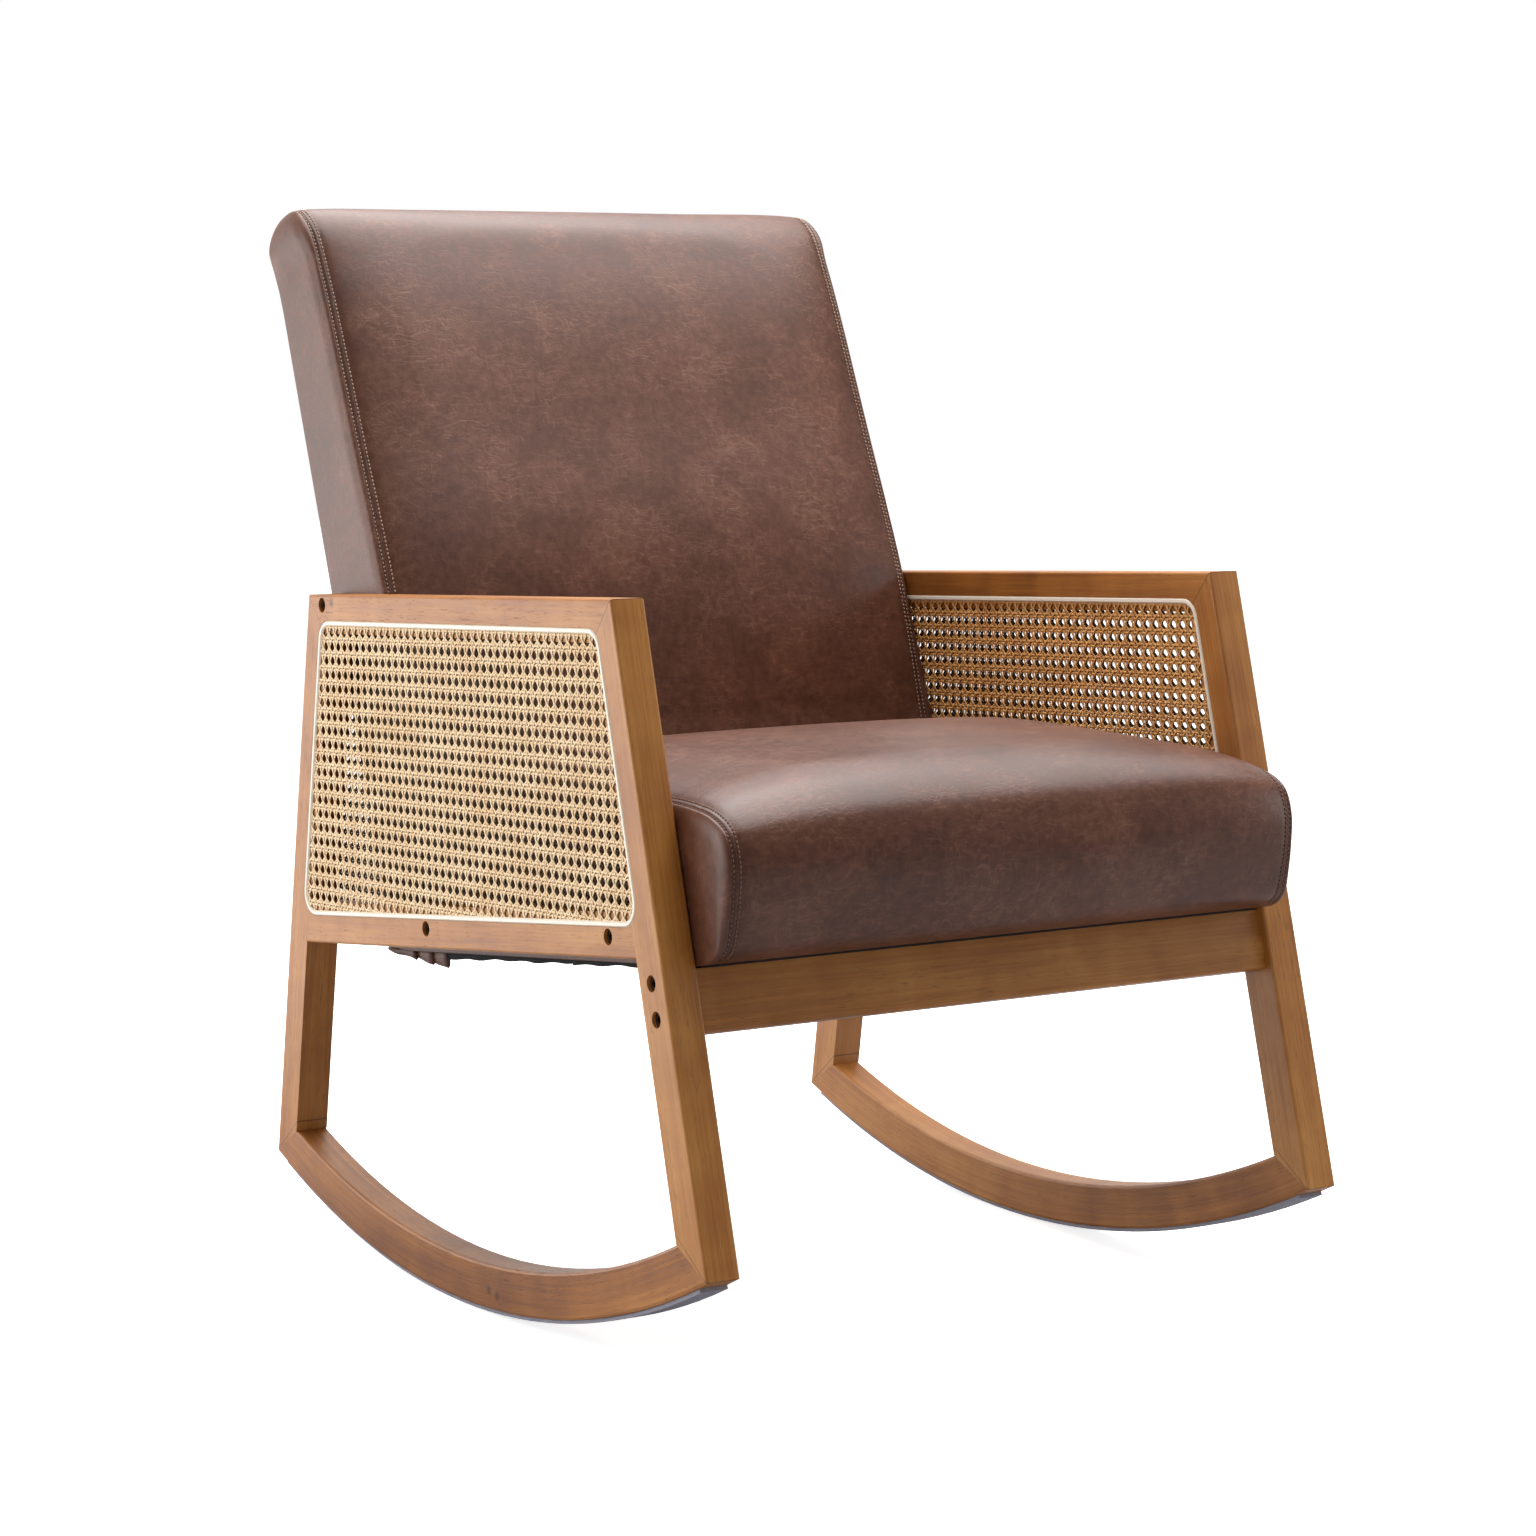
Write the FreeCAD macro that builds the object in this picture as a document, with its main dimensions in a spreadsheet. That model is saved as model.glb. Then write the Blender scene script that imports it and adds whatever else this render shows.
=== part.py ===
"""An upholstered rocking chair: two mitred side frames with cane panels, a sprung seat and a raked back.

The pieces are drawn with the arms level, the floor side down and the sitter facing -Y.
The drawing's origin lies under the middle of the side frames, level with the lowest point of the rockers.
The finished chair is then leaned back to the attitude in which it rests.
"""

import FreeCAD, Part
import math
import os
import Sketcher

SIZES = {
    # side frames
    "overall_width": 626.0,
    "frame_thickness": 31.0,
    "arm_length": 555.0,
    "arm_width": 35.0,
    "leg_drop": 524.0,
    "leg_splay": 12.4,
    "leg_width": 38.0,
    "rocker_sag": 81.0,
    "rocker_width": 39.0,
    "side_rail_height": 304.4,
    "side_rail_width": 37.0,
    "side_rail_slope": 3.54,
    "edge_easing": 2.5,
    "rest_lean": 2.59,
    # loose tenons in the joints of the side frames
    "tenon_thickness": 8.0,
    "tenon_width": 24.0,
    "tenon_length": 20.0,
    # groove, spline and cane of the side panels
    "groove_arm_margin": 23.0,
    "groove_leg_margin": 26.5,
    "groove_rail_margin": 25.0,
    "groove_width": 5.0,
    "groove_depth": 4.0,
    "groove_corner": 20.0,
    "spline_rise": 0.6,
    "spline_easing": 1.2,
    "cane_thickness": 2.0,
    "cane_gap": 50.8,
    "cane_pitch": 63.5,
    "cane_border": 8.0,
    "glue_line": 0.1,
    # felt under the rockers
    "felt_width": 25.0,
    "felt_thickness": 3.0,
    "felt_reach": 377.0,
    # front rail
    "front_rail_thickness": 25.0,
    "front_rail_width": 51.0,
    "front_rail_setback": 7.5,
    # bolts through the side frames
    "bolt_head_diameter": 12.6,
    "bolt_head_height": 7.0,
    "bolt_head_sink": 3.0,
    "bolt_diameter": 8.0,
    "bolt_length": 38.0,
    "bolt_socket": 6.0,
    "bolt_socket_depth": 4.0,
    "bolt_recess_diameter": 13.5,
    "bolt_hole_diameter": 8.6,
    "bolt_play": 0.15,
    "insert_diameter": 12.0,
    "insert_length": 18.0,
    "arm_bolt_drop": 9.4,
    "arm_bolt_setback": 27.7,
    "rail_bolt_rise": 17.3,
    "front_rail_bolt_drop": 10.0,
    "front_rail_bolt_spacing": 28.5,
    "seat_bolt_front": 256.4,
    "seat_bolt_rear": 64.7,
    # seat frame, drawn in the plane of the seat's underside
    "seat_underside": 7.0,
    "seat_front_rail_reach": 345.0,
    "seat_rear_setback": 6.165,
    "seat_rail_width": 45.0,
    "seat_rail_thickness": 24.0,
    "corner_block_leg": 60.0,
    "corner_block_height": 38.0,
    "strap_width": 50.0,
    "strap_thickness": 2.0,
    "strap_spacing": 78.0,
    "dust_cover_thickness": 1.5,
    "dust_cover_margin": 9.0,
    # cushions
    "leather": 2.0,
    "soft_gap": 0.3,
    "cushion_side_gap": 0.6,
    "seam_inset": 7.0,
    "seat_front_depth": 92.4,
    "seat_front_height": 134.7,
    "seat_front_room": 49.4,
    "seat_top_height": 168.0,
    "seat_end_lean": 26.0,
    "seat_crown": 26.0,
    "seat_front_bulge": 9.0,
    "seat_back_gap": 5.911,
    "drawn_in": 14.0,
    "seat_flange": 30.0,
    # back, drawn along its rear face from the level of the arm's top
    "back_rake": 17.5,
    "back_start": 297.2,
    "back_depth": 101.6,
    "back_foot_depth": 90.5,
    "back_top": 355.0,
    "back_bulge": 17.0,
    "stile_depth": 48.0,
    "stile_thickness": 28.0,
    "back_rail_width": 55.0,
    "back_rail_thickness": 24.0,
    "back_frame_top": 302.0,
    "back_panel_margin": 13.0,
    "back_panel_top": 334.0,
    "back_bolt_length": 95.0,
    "back_bolt_inset": 22.0,
    # one overrun for all cuts
    "overrun": 5.0,
}

# Points of the seat's side, from the underside round the front to the top: shares of the front's depth and
# height, then the shares of the bulge and of the crown that lift the middle, then those of the drawn-in side.
seat_front_shares = [
    (0.470, 0.000, 0.00, 0.00, 0.0, 0.0),
    (0.215, 0.075, 0.15, 0.00, 0.3, 0.0),
    (0.100, 0.245, 0.40, 0.00, 0.7, 0.0),
    (0.032, 0.410, 0.75, 0.00, 1.0, 0.0),
    (0.000, 0.600, 1.00, 0.12, 1.0, -0.1),
    (0.068, 0.762, 1.00, 0.45, 0.9, -0.5),
    (0.253, 0.872, 0.75, 0.80, 0.6, -0.8),
    (0.600, 0.950, 0.30, 1.00, 0.2, -1.0),
    (1.000, 1.000, 0.00, 1.00, 0.0, -1.0),
]
# The seat's top behind its front: shares of the way back and of the rise, then as above.
seat_top_shares = [
    (0.50, 0.72, 0.0, 0.75, 0.0, -1.0),
    (1.00, 1.00, 0.0, 0.00, 0.0, -1.0),
]
# Points of the back's side, from its foot up the front and over the top: shares of its depth and height,
# then of the bulge forward and up, then of the drawn-in side.
back_front_shares = [
    (0.939, -0.518, 0.00, 0.0, 0.0, 0.0),
    (1.000, -0.090, 0.90, 0.0, -0.8, 0.0),
    (0.913, 0.330, 1.00, 0.0, -1.0, 0.0),
    (0.785, 0.820, 0.85, 0.1, -1.0, -0.2),
    (0.715, 0.928, 0.60, 0.3, -0.8, -0.7),
    (0.540, 0.990, 0.30, 0.5, -0.4, -1.0),
    (0.300, 1.004, 0.10, 0.5, 0.0, -1.0),
    (0.085, 0.994, 0.00, 0.3, 0.0, -1.0),
    (0.025, 0.978, 0.00, 0.1, 0.0, -0.9),
    (0.000, 0.950, 0.00, 0.0, 0.0, -0.8),
]
# Where the sections of a cushion lie between its seams, and how much of its crown each has.
crown_shares = [(-1.0, 0.0), (-0.82, 0.52), (-0.5, 0.9), (0.0, 1.0), (0.5, 0.9), (0.82, 0.52), (1.0, 0.0)]
# Outside the seams: how far out of the seam and how much of the drawn-in side.
boxing_shares = [(0.0, 0.0), (0.72, 0.4), (1.0, 1.0)]

# How many arcs the rounded part of a cushion's outline is drawn with, and the chords along each of them.
outline_arcs = 5
cover_chords = 3
filling_chords = 2

# How much longer the rocker's bar is before it is mitred, and how far the mitres are cut past its inner edge.
bar_length_share = 1.1
mitre_overrun_share = 0.2
# How many flats go round each edge of the rocker, round a bolt or an insert, and round a bolt's recess.
easing_flats = 2
fastener_flats = 12
recess_flats = 24

FRONT = -1
REAR = 1
BOTH_ENDS = (FRONT, REAR)
ACROSS = FreeCAD.Vector(1, 0, 0)

doc = FreeCAD.newDocument("rocking_chair")


def make_sheet():
    sheet = doc.addObject("Spreadsheet::Sheet", "Sizes")
    for row, (alias, value) in enumerate(SIZES.items(), start=1):
        sheet.set(f"A{row}", alias)
        sheet.set(f"B{row}", str(value))
        sheet.setAlias(f"B{row}", alias)
    doc.recompute()
    return sheet


class Size:
    """A size that knows its value and the expression on the sheet that it comes from."""

    def __init__(self, value, text):
        self.value = value
        self.text = text

    def __add__(self, other):
        return Size(self.value + other.value, f"({self.text} + {other.text})")

    def __sub__(self, other):
        return Size(self.value - other.value, f"({self.text} - {other.text})")

    def __neg__(self):
        return Size(-self.value, f"(0 - {self.text})")

    def __mul__(self, other):
        if isinstance(other, Size):
            return Size(self.value * other.value, f"({self.text} * {other.text})")
        return Size(self.value * other, f"({self.text} * {other})")

    __rmul__ = __mul__

    def __truediv__(self, other):
        if isinstance(other, Size):
            return Size(self.value / other.value, f"({self.text} / {other.text})")
        return Size(self.value / other, f"({self.text} / {other})")


sheet = make_sheet()


def size(alias):
    return Size(float(getattr(sheet, alias)), f"Sizes.{alias}")


def cosine(angle):
    return Size(math.cos(math.radians(angle.value)), f"cos({angle.text} * 1 deg)")


def sine(angle):
    return Size(math.sin(math.radians(angle.value)), f"sin({angle.text} * 1 deg)")


def tangent(angle):
    return Size(math.tan(math.radians(angle.value)), f"tan({angle.text} * 1 deg)")


def root(term):
    return Size(math.sqrt(term.value), f"sqrt({term.text})")


zero = Size(0.0, "0")
half_width = size("overall_width") / 2
inner_face = half_width - size("frame_thickness")
half_arm = size("arm_length") / 2
arm_top = size("leg_drop") + size("rocker_sag")
splay = size("leg_splay")
slope = size("side_rail_slope")
foot_reach = half_arm + size("leg_drop") * tangent(splay)
rocker_radius = (foot_reach * foot_reach + size("rocker_sag") * size("rocker_sag")) / (2 * size("rocker_sag"))


def leg_reach(inset, height):
    """How far out a line parallel to a leg's outer edge, inset from it, lies at a height."""
    return half_arm - inset / cosine(splay) + (arm_top - height) * tangent(splay)


def rail_corner(inset, rise, end):
    """Where the line inset inside a leg's outer edge meets the line that rises above the rail's underside."""
    base = size("side_rail_height") + rise / cosine(slope)
    reach = leg_reach(inset, base)
    turn = tangent(slope) * tangent(splay)
    if end == FRONT:
        along = -(reach / (Size(1.0, "1") + turn))
    else:
        along = reach / (Size(1.0, "1") - turn)
    return along, base - along * tangent(slope)


def rocker_mitre():
    """The inner end of the mitre between a leg and the rocker: its reach and its height."""
    radius = rocker_radius - size("rocker_width")
    level = leg_reach(size("leg_width"), rocker_radius)
    spread = Size(1.0, "1") + tangent(splay) * tangent(splay)
    below = (root(spread * radius * radius - level * level) - level * tangent(splay)) / spread
    return leg_reach(size("leg_width"), rocker_radius - below), rocker_radius - below


# sketches and bodies


def attach(body, name, start, role="YZ_Plane"):
    """A sketch on one of the body's own planes, at a distance from it."""
    sketch = body.newObject("Sketcher::SketchObject", name)
    plane = [item for item in body.Origin.OriginFeatures if item.Role == role][0]
    sketch.AttachmentSupport = [(plane, "")]
    sketch.MapMode = "FlatFace"
    sketch.setExpression("AttachmentOffset.Base.z", start.text)
    return sketch


def bind_point(sketch, geometry, end, corner, name):
    """Ties one end of an edge to the two sizes of its corner."""
    for kind, term in zip(("DistanceX", "DistanceY"), corner):
        index = sketch.addConstraint(Sketcher.Constraint(kind, -1, 1, geometry, end, term.value))
        sketch.renameConstraint(index, f"{name}_{kind[-1].lower()}")
        sketch.setExpression(f"Constraints.{name}_{kind[-1].lower()}", term.text)


def straight_outline(sketch, corners):
    points = [FreeCAD.Vector(along.value, up.value, 0) for along, up in corners]
    count = len(points)
    for index, point in enumerate(points):
        sketch.addGeometry(Part.LineSegment(point, points[(index + 1) % count]))
    for index in range(count):
        sketch.addConstraint(Sketcher.Constraint("Coincident", index, 2, (index + 1) % count, 1))
    for index, corner in enumerate(corners):
        bind_point(sketch, index, 1, corner, f"corner{index}")


def arched_outline(sketch, outer_radius, inner_radius, outer_end, inner_end):
    """Two concentric arcs about the rocker's centre, closed by a straight edge at each end."""
    centre = FreeCAD.Vector(0, rocker_radius.value, 0)
    for radius, (reach, height) in ((outer_radius, outer_end), (inner_radius, inner_end)):
        circle = Part.Circle(centre, FreeCAD.Vector(0, 0, 1), radius.value)
        drop = height.value - rocker_radius.value
        start = math.atan2(drop, -reach.value)
        finish = math.atan2(drop, reach.value)
        sketch.addGeometry(Part.ArcOfCircle(circle, start, finish))
    for side in BOTH_ENDS:
        outer_point = FreeCAD.Vector(side * outer_end[0].value, outer_end[1].value, 0)
        inner_point = FreeCAD.Vector(side * inner_end[0].value, inner_end[1].value, 0)
        sketch.addGeometry(Part.LineSegment(outer_point, inner_point))
    for line, end in ((2, 1), (3, 2)):
        sketch.addConstraint(Sketcher.Constraint("Coincident", line, 1, 0, end))
        sketch.addConstraint(Sketcher.Constraint("Coincident", line, 2, 1, end))
    sketch.addConstraint(Sketcher.Constraint("Coincident", 0, 3, 1, 3))
    bind_point(sketch, 0, 3, (zero, rocker_radius), "centre")
    for arc, radius, name in ((0, outer_radius, "outer"), (1, inner_radius, "inner")):
        index = sketch.addConstraint(Sketcher.Constraint("Radius", arc, radius.value))
        sketch.renameConstraint(index, f"{name}_radius")
        sketch.setExpression(f"Constraints.{name}_radius", radius.text)
    for arc, (reach, height), name in ((0, outer_end, "outer"), (1, inner_end, "inner")):
        for end, side in ((1, FRONT), (2, REAR)):
            constraint = Sketcher.Constraint("DistanceX", -1, 1, arc, end, side * reach.value)
            index = sketch.addConstraint(constraint)
            sketch.renameConstraint(index, f"{name}_end{end}")
            sketch.setExpression(f"Constraints.{name}_end{end}", (side * reach).text)


def padded_body(name, start, length, draw, *outline):
    body = doc.addObject("PartDesign::Body", name)
    sketch = attach(body, f"{name}_outline", start)
    draw(sketch, *outline)
    pad = body.newObject("PartDesign::Pad", f"{name}_pad")
    pad.Profile = sketch
    pad.setExpression("Length", length.text)
    doc.recompute()
    return body


def ease(body, wanted, radius):
    """Rounds the edges of a body that the test picks."""
    edges = [f"Edge{number}" for number, edge in enumerate(body.Shape.Edges, start=1) if wanted(edge)]
    solid = body.Tip
    fillet = body.newObject("PartDesign::Fillet", f"{body.Name}_easing")
    fillet.Base = (solid, edges)
    fillet.setExpression("Radius", radius.text)
    doc.recompute()


def cut(name, base, tools):
    """A piece with each tool taken away in turn."""
    for number, tool in enumerate(tools):
        last = number == len(tools) - 1
        result = doc.addObject("Part::Cut", name if last else f"{name}_stage{number}")
        result.Base = base
        result.Tool = tool
        base = result
    return base


def feature(name, shape):
    result = doc.addObject("Part::Feature", name)
    result.Shape = shape
    return result


nodes = []
twins = []


def keep(piece):
    """Marks a piece as one of the chair's own."""
    piece.Label = piece.Name
    nodes.append(piece)
    return piece


# side frame


frame_start = -half_width


def frame_member(name, corners, eased_side):
    """A straight piece of the side frame, eased along the edges that the test picks."""
    body = padded_body(f"{name}_blank", frame_start, size("frame_thickness"), straight_outline, corners)
    ease(body, eased_side, size("edge_easing"))
    return body


def runs_across(edge):
    return abs(edge.tangentAt(edge.FirstParameter).dot(ACROSS)) > 0.5


def on_line(first, second):
    """A test for edges that lie along the line through two corners, on either face of the frame."""
    start = FreeCAD.Vector(0, first[0].value, first[1].value)
    line = Part.makeLine(start, FreeCAD.Vector(0, second[0].value, second[1].value))
    direction = line.Curve.Direction

    def test(edge):
        if runs_across(edge):
            return False
        middle = edge.valueAt((edge.FirstParameter + edge.LastParameter) / 2)
        offset = FreeCAD.Vector(0, middle.y, middle.z) - start
        return offset.cross(direction).Length < size("glue_line").value

    return test


def outer_corner(end):
    return end * half_arm, arm_top


def inner_corner(end):
    height = arm_top - size("arm_width")
    return end * leg_reach(size("leg_width"), height), height


def foot_corner(end):
    return end * foot_reach, size("rocker_sag")


def heel_corner(end):
    reach, height = rocker_mitre()
    return end * reach, height


def arm_rail_blank():
    corners = [outer_corner(FRONT), outer_corner(REAR), inner_corner(REAR), inner_corner(FRONT)]
    return frame_member("left_arm_rail", corners, on_line(corners[0], corners[1]))


def leg_blank(name, end):
    corners = [outer_corner(end), inner_corner(end), heel_corner(end), foot_corner(end)]
    return frame_member(name, corners, on_line(corners[0], corners[3]))


def side_rail_blank():
    width = size("side_rail_width")
    inset = size("leg_width")
    low_front = rail_corner(inset, zero, FRONT)
    low_rear = rail_corner(inset, zero, REAR)
    corners = [low_front, low_rear, rail_corner(inset, width, REAR), rail_corner(inset, width, FRONT)]
    return frame_member("left_side_rail", corners, on_line(low_front, low_rear))


def eased_section(low, high, width, radius):
    """The section of a bar, with each corner rounded off by short flats."""
    corners = []
    sides = ((low, 1, zero, 1), (high, -1, zero, 1), (high, -1, width, -1), (low, 1, width, -1))
    for number, (across, inward, up, upward) in enumerate(sides):
        angles = [math.radians(90 * step / easing_flats) for step in range(easing_flats + 1)]
        for angle in angles if number % 2 == 0 else reversed(angles):
            beside = across + radius * (inward * (1 - math.cos(angle)))
            corners.append((beside, up + radius * (upward * (1 - math.sin(angle)))))
    return corners


def rocker_bend():
    """A length of eased bar bent to the rocker's radius, longer than the rocker at both ends."""
    body = doc.addObject("PartDesign::Body", "left_rocker_bar")
    sketch = attach(body, "left_rocker_section", zero, "XZ_Plane")
    near = frame_start + size("frame_thickness")
    straight_outline(sketch, eased_section(frame_start, near, size("rocker_width"), size("edge_easing")))
    ends = [FreeCAD.Vector(across.value, rocker_radius.value, 0) for across in (frame_start, near)]
    axis = sketch.addGeometry(Part.LineSegment(*ends), True)
    bind_point(sketch, axis, 1, (frame_start, rocker_radius), "axis_start")
    bind_point(sketch, axis, 2, (near, rocker_radius), "axis_end")
    bend = body.newObject("PartDesign::Revolution", "left_rocker_bend")
    bend.Profile = sketch
    bend.ReferenceAxis = (sketch, ["Axis0"])
    bend.Midplane = True
    slant = foot_reach / (rocker_radius - size("rocker_sag"))
    bend.setExpression("Angle", f"{2 * bar_length_share} * atan({slant.text})")
    doc.recompute()
    return body


def rocker():
    """The rocker, mitred at both ends where the legs stand on it."""
    deep = size("overrun")
    corners = []
    for end in (FRONT, REAR):
        foot, heel = foot_corner(end), heel_corner(end)
        run, rise = heel[0] - foot[0], heel[1] - foot[1]
        below = (foot[0] - run * (foot[1] + deep) / rise, -deep)
        above = (heel[0] + run * mitre_overrun_share, heel[1] + rise * mitre_overrun_share)
        corners += [below, above] if end == FRONT else [above, below]
    wedge = padded_body("left_rocker_bay", frame_start, size("frame_thickness"), straight_outline, corners)
    bar = doc.addObject("Part::Common", "left_rocker_blank")
    bar.Base = rocker_bend()
    bar.Tool = wedge
    return bar


def panel_corners(inset):
    """The corners of the cane panel's outline, inset inside the outer edge of the groove."""
    top = arm_top - size("groove_arm_margin") - inset
    from_leg = size("groove_leg_margin") + inset
    rise = size("groove_rail_margin") + inset
    reach = leg_reach(from_leg, top)
    low = [rail_corner(from_leg, rise, end) for end in (REAR, FRONT)]
    return [(-reach, top), (reach, top), *low]


def panel_block(name, inset, start, length):
    """A slab with the panel's outline and rounded corners, used to cut and to make the parts of the panel."""
    body = padded_body(name, start, length, straight_outline, panel_corners(inset))
    ease(body, runs_across, size("groove_corner") - inset)
    return body


def panel_recess():
    """The groove for the spline on both faces, and the shallow rebate that the cane lies in."""
    thickness = size("frame_thickness")
    groove = size("groove_depth")
    rebate = size("cane_thickness")
    through = panel_block("recess_outline", zero, frame_start, thickness)
    core = panel_block("recess_core", zero, frame_start + groove, thickness - 2 * groove)
    land = panel_block("recess_land", size("groove_width"), frame_start + rebate, thickness - 2 * rebate)
    return cut("panel_recess", through, [core, land])


def spline(name, start, outward):
    """The strip pressed into the groove, with the bevelled edges of its top on the outward side."""
    play = size("glue_line")
    length = size("groove_depth") + size("spline_rise") - play
    outside = panel_block(f"{name}_outside", play, start, length)
    inside = panel_block(f"{name}_inside", size("groove_width") - play, start, length)
    ring = cut(f"{name}_ring", outside, [inside])
    doc.recompute()
    top = start.value if outward < 0 else (start + length).value
    strip = doc.addObject("Part::Chamfer", name)
    strip.Base = ring
    bevel = size("spline_easing").value
    level = size("glue_line").value
    edges = []
    for number, edge in enumerate(ring.Shape.Edges, start=1):
        if all(abs(vertex.X - top) < level for vertex in edge.Vertexes):
            edges.append((number, bevel, bevel))
    strip.Edges = edges
    return strip


def inside_panel(along, height, margin):
    """Whether a point lies inside the panel's outline by at least a margin."""
    from_leg = size("groove_leg_margin").value + margin
    half_top = half_arm.value - from_leg / cosine(splay).value
    if abs(along) > half_top + (arm_top.value - height) * tangent(splay).value:
        return False
    rise = (size("groove_rail_margin").value + margin) / cosine(slope).value
    return height > size("side_rail_height").value + rise - along * tangent(slope).value


def cane_sheet(name, start):
    """The cane as one holed sheet, with its rows of gaps parallel to the arm."""
    inset = size("groove_width") + size("glue_line")
    blank = panel_block(f"{name}_blank", inset, start, size("cane_thickness"))
    end_face = min(blank.Shape.Faces, key=lambda face: face.CenterOfMass.x)
    margin = size("groove_width").value + size("cane_border").value
    pitch = size("cane_pitch").value
    half_gap = size("cane_gap").value / 2
    top = arm_top.value - size("groove_arm_margin").value - margin
    rows = int((arm_top.value - size("side_rail_height").value) // pitch) + 1
    columns = int(half_arm.value // pitch) + 1
    holes = []
    for row in range(rows):
        middle = top - half_gap - row * pitch
        for column in range(-columns, columns + 1):
            along = column * pitch
            square = [
                (along - half_gap, middle - half_gap),
                (along + half_gap, middle - half_gap),
                (along + half_gap, middle + half_gap),
                (along - half_gap, middle + half_gap),
            ]
            if all(inside_panel(y, z, margin) for y, z in square):
                points = [FreeCAD.Vector(start.value, y, z) for y, z in square]
                holes.append(Part.makePolygon(points + points[:1]))
    net = Part.Face([end_face.OuterWire] + holes)
    return feature(name, net.extrude(ACROSS * size("cane_thickness").value))


def turned_box(name, centre, angle, thickness, width, length):
    """A box centred on a point of the frame's plane, turned in that plane."""
    box = doc.addObject("Part::Box", name)
    box.setExpression("Length", thickness.text)
    box.setExpression("Width", length.text)
    box.setExpression("Height", width.text)
    turn = FreeCAD.Rotation(ACROSS, angle)
    corner = turn.multVec(FreeCAD.Vector(0, -length.value / 2, -width.value / 2))
    place = FreeCAD.Vector(-thickness.value / 2, 0, 0) + centre + corner
    box.Placement = FreeCAD.Placement(place, turn)
    return box


def loose_tenons(name):
    """One loose tenon across each of the six joints of the frame."""
    middle = (frame_start + size("frame_thickness") / 2).value
    joints = []
    for end in BOTH_ENDS:
        for outer, inner in ((outer_corner(end), inner_corner(end)), (foot_corner(end), heel_corner(end))):
            joints.append((outer, inner))
        inset = size("leg_width")
        joints.append((rail_corner(inset, zero, end), rail_corner(inset, size("side_rail_width"), end)))
    boxes = []
    for number, (first, second) in enumerate(joints):
        along = (first[0].value + second[0].value) / 2
        height = (first[1].value + second[1].value) / 2
        line = math.degrees(math.atan2(second[1].value - first[1].value, second[0].value - first[0].value))
        centre = FreeCAD.Vector(middle, along, height)
        sizes = (size("tenon_thickness"), size("tenon_width"), size("tenon_length"))
        boxes.append(turned_box(f"{name}_{number}", centre, line - 90, *sizes))
    group = doc.addObject("Part::Compound", name)
    group.Links = boxes
    return group


def felt_strip(name):
    """The felt glued under the rocker, a little narrower than the wood."""
    top = rocker_radius + size("glue_line")
    bottom = top + size("felt_thickness")
    ends = []
    for radius in (bottom, top):
        reach = size("felt_reach") * radius / rocker_radius
        ends.append((reach, rocker_radius - root(radius * radius - reach * reach)))
    start = frame_start + (size("frame_thickness") - size("felt_width")) / 2
    return padded_body(name, start, size("felt_width"), arched_outline, bottom, top, *ends)


# bolts


def front_rail_bolts():
    """The two bolts at each end of the front rail, on the rail's middle and along its rake."""
    top = front_rail_top()
    inset = size("front_rail_setback") + size("front_rail_thickness") / 2
    places = []
    for step in (zero, size("front_rail_bolt_spacing")):
        height = top - (size("front_rail_bolt_drop") + step) * cosine(splay)
        places.append((-leg_reach(inset, height), height))
    return places


def seat_bolts():
    """The two bolts through the side rail into the seat's frame."""
    places = []
    for along in (-size("seat_bolt_front"), size("seat_bolt_rear")):
        height = size("side_rail_height") + size("rail_bolt_rise") / cosine(slope) - along * tangent(slope)
        places.append((along, height))
    return places


def arm_bolts():
    """The bolt through the arm into the back's stile."""
    return [(half_arm - size("arm_bolt_setback"), arm_top - size("arm_bolt_drop"))]


def flat_sided(base, direction, radius, length, flats=fastener_flats):
    """A round bar drawn with flat sides, whose corners lie on a circle about its axis."""
    turn = FreeCAD.Rotation(FreeCAD.Vector(0, 0, 1), direction)
    corners = []
    for step in range(flats + 1):
        angle = 2 * math.pi * step / flats
        corners.append(base + turn.multVec(FreeCAD.Vector(math.cos(angle), math.sin(angle), 0)) * radius)
    return Part.Face(Part.makePolygon(corners)).extrude(direction * length)


def side_bar(start, place, radius, length, flats=fastener_flats):
    return flat_sided(FreeCAD.Vector(start, place[0].value, place[1].value), ACROSS, radius, length, flats)


def recess_depth():
    return (size("bolt_head_sink") + size("bolt_head_height")).value


def bolt_holes(name, places):
    """The round recess and the hole of each bolt, as one tool."""
    shapes = []
    for place in places:
        start = frame_start.value - size("overrun").value
        depth = size("overrun").value + recess_depth()
        recess = side_bar(start, place, size("bolt_recess_diameter").value / 2, depth, recess_flats)
        reach = size("bolt_length").value + recess_depth()
        hole = side_bar(frame_start.value, place, size("bolt_hole_diameter").value / 2, reach)
        shapes.append(recess.fuse(hole))
    return feature(name, Part.makeCompound(shapes))


def insert_holes(name, places, start):
    """The holes that the threaded inserts sit in."""
    radius = size("insert_diameter").value / 2
    length = size("insert_length").value + size("overrun").value
    return feature(name, Part.makeCompound([side_bar(start, place, radius, length) for place in places]))


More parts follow.
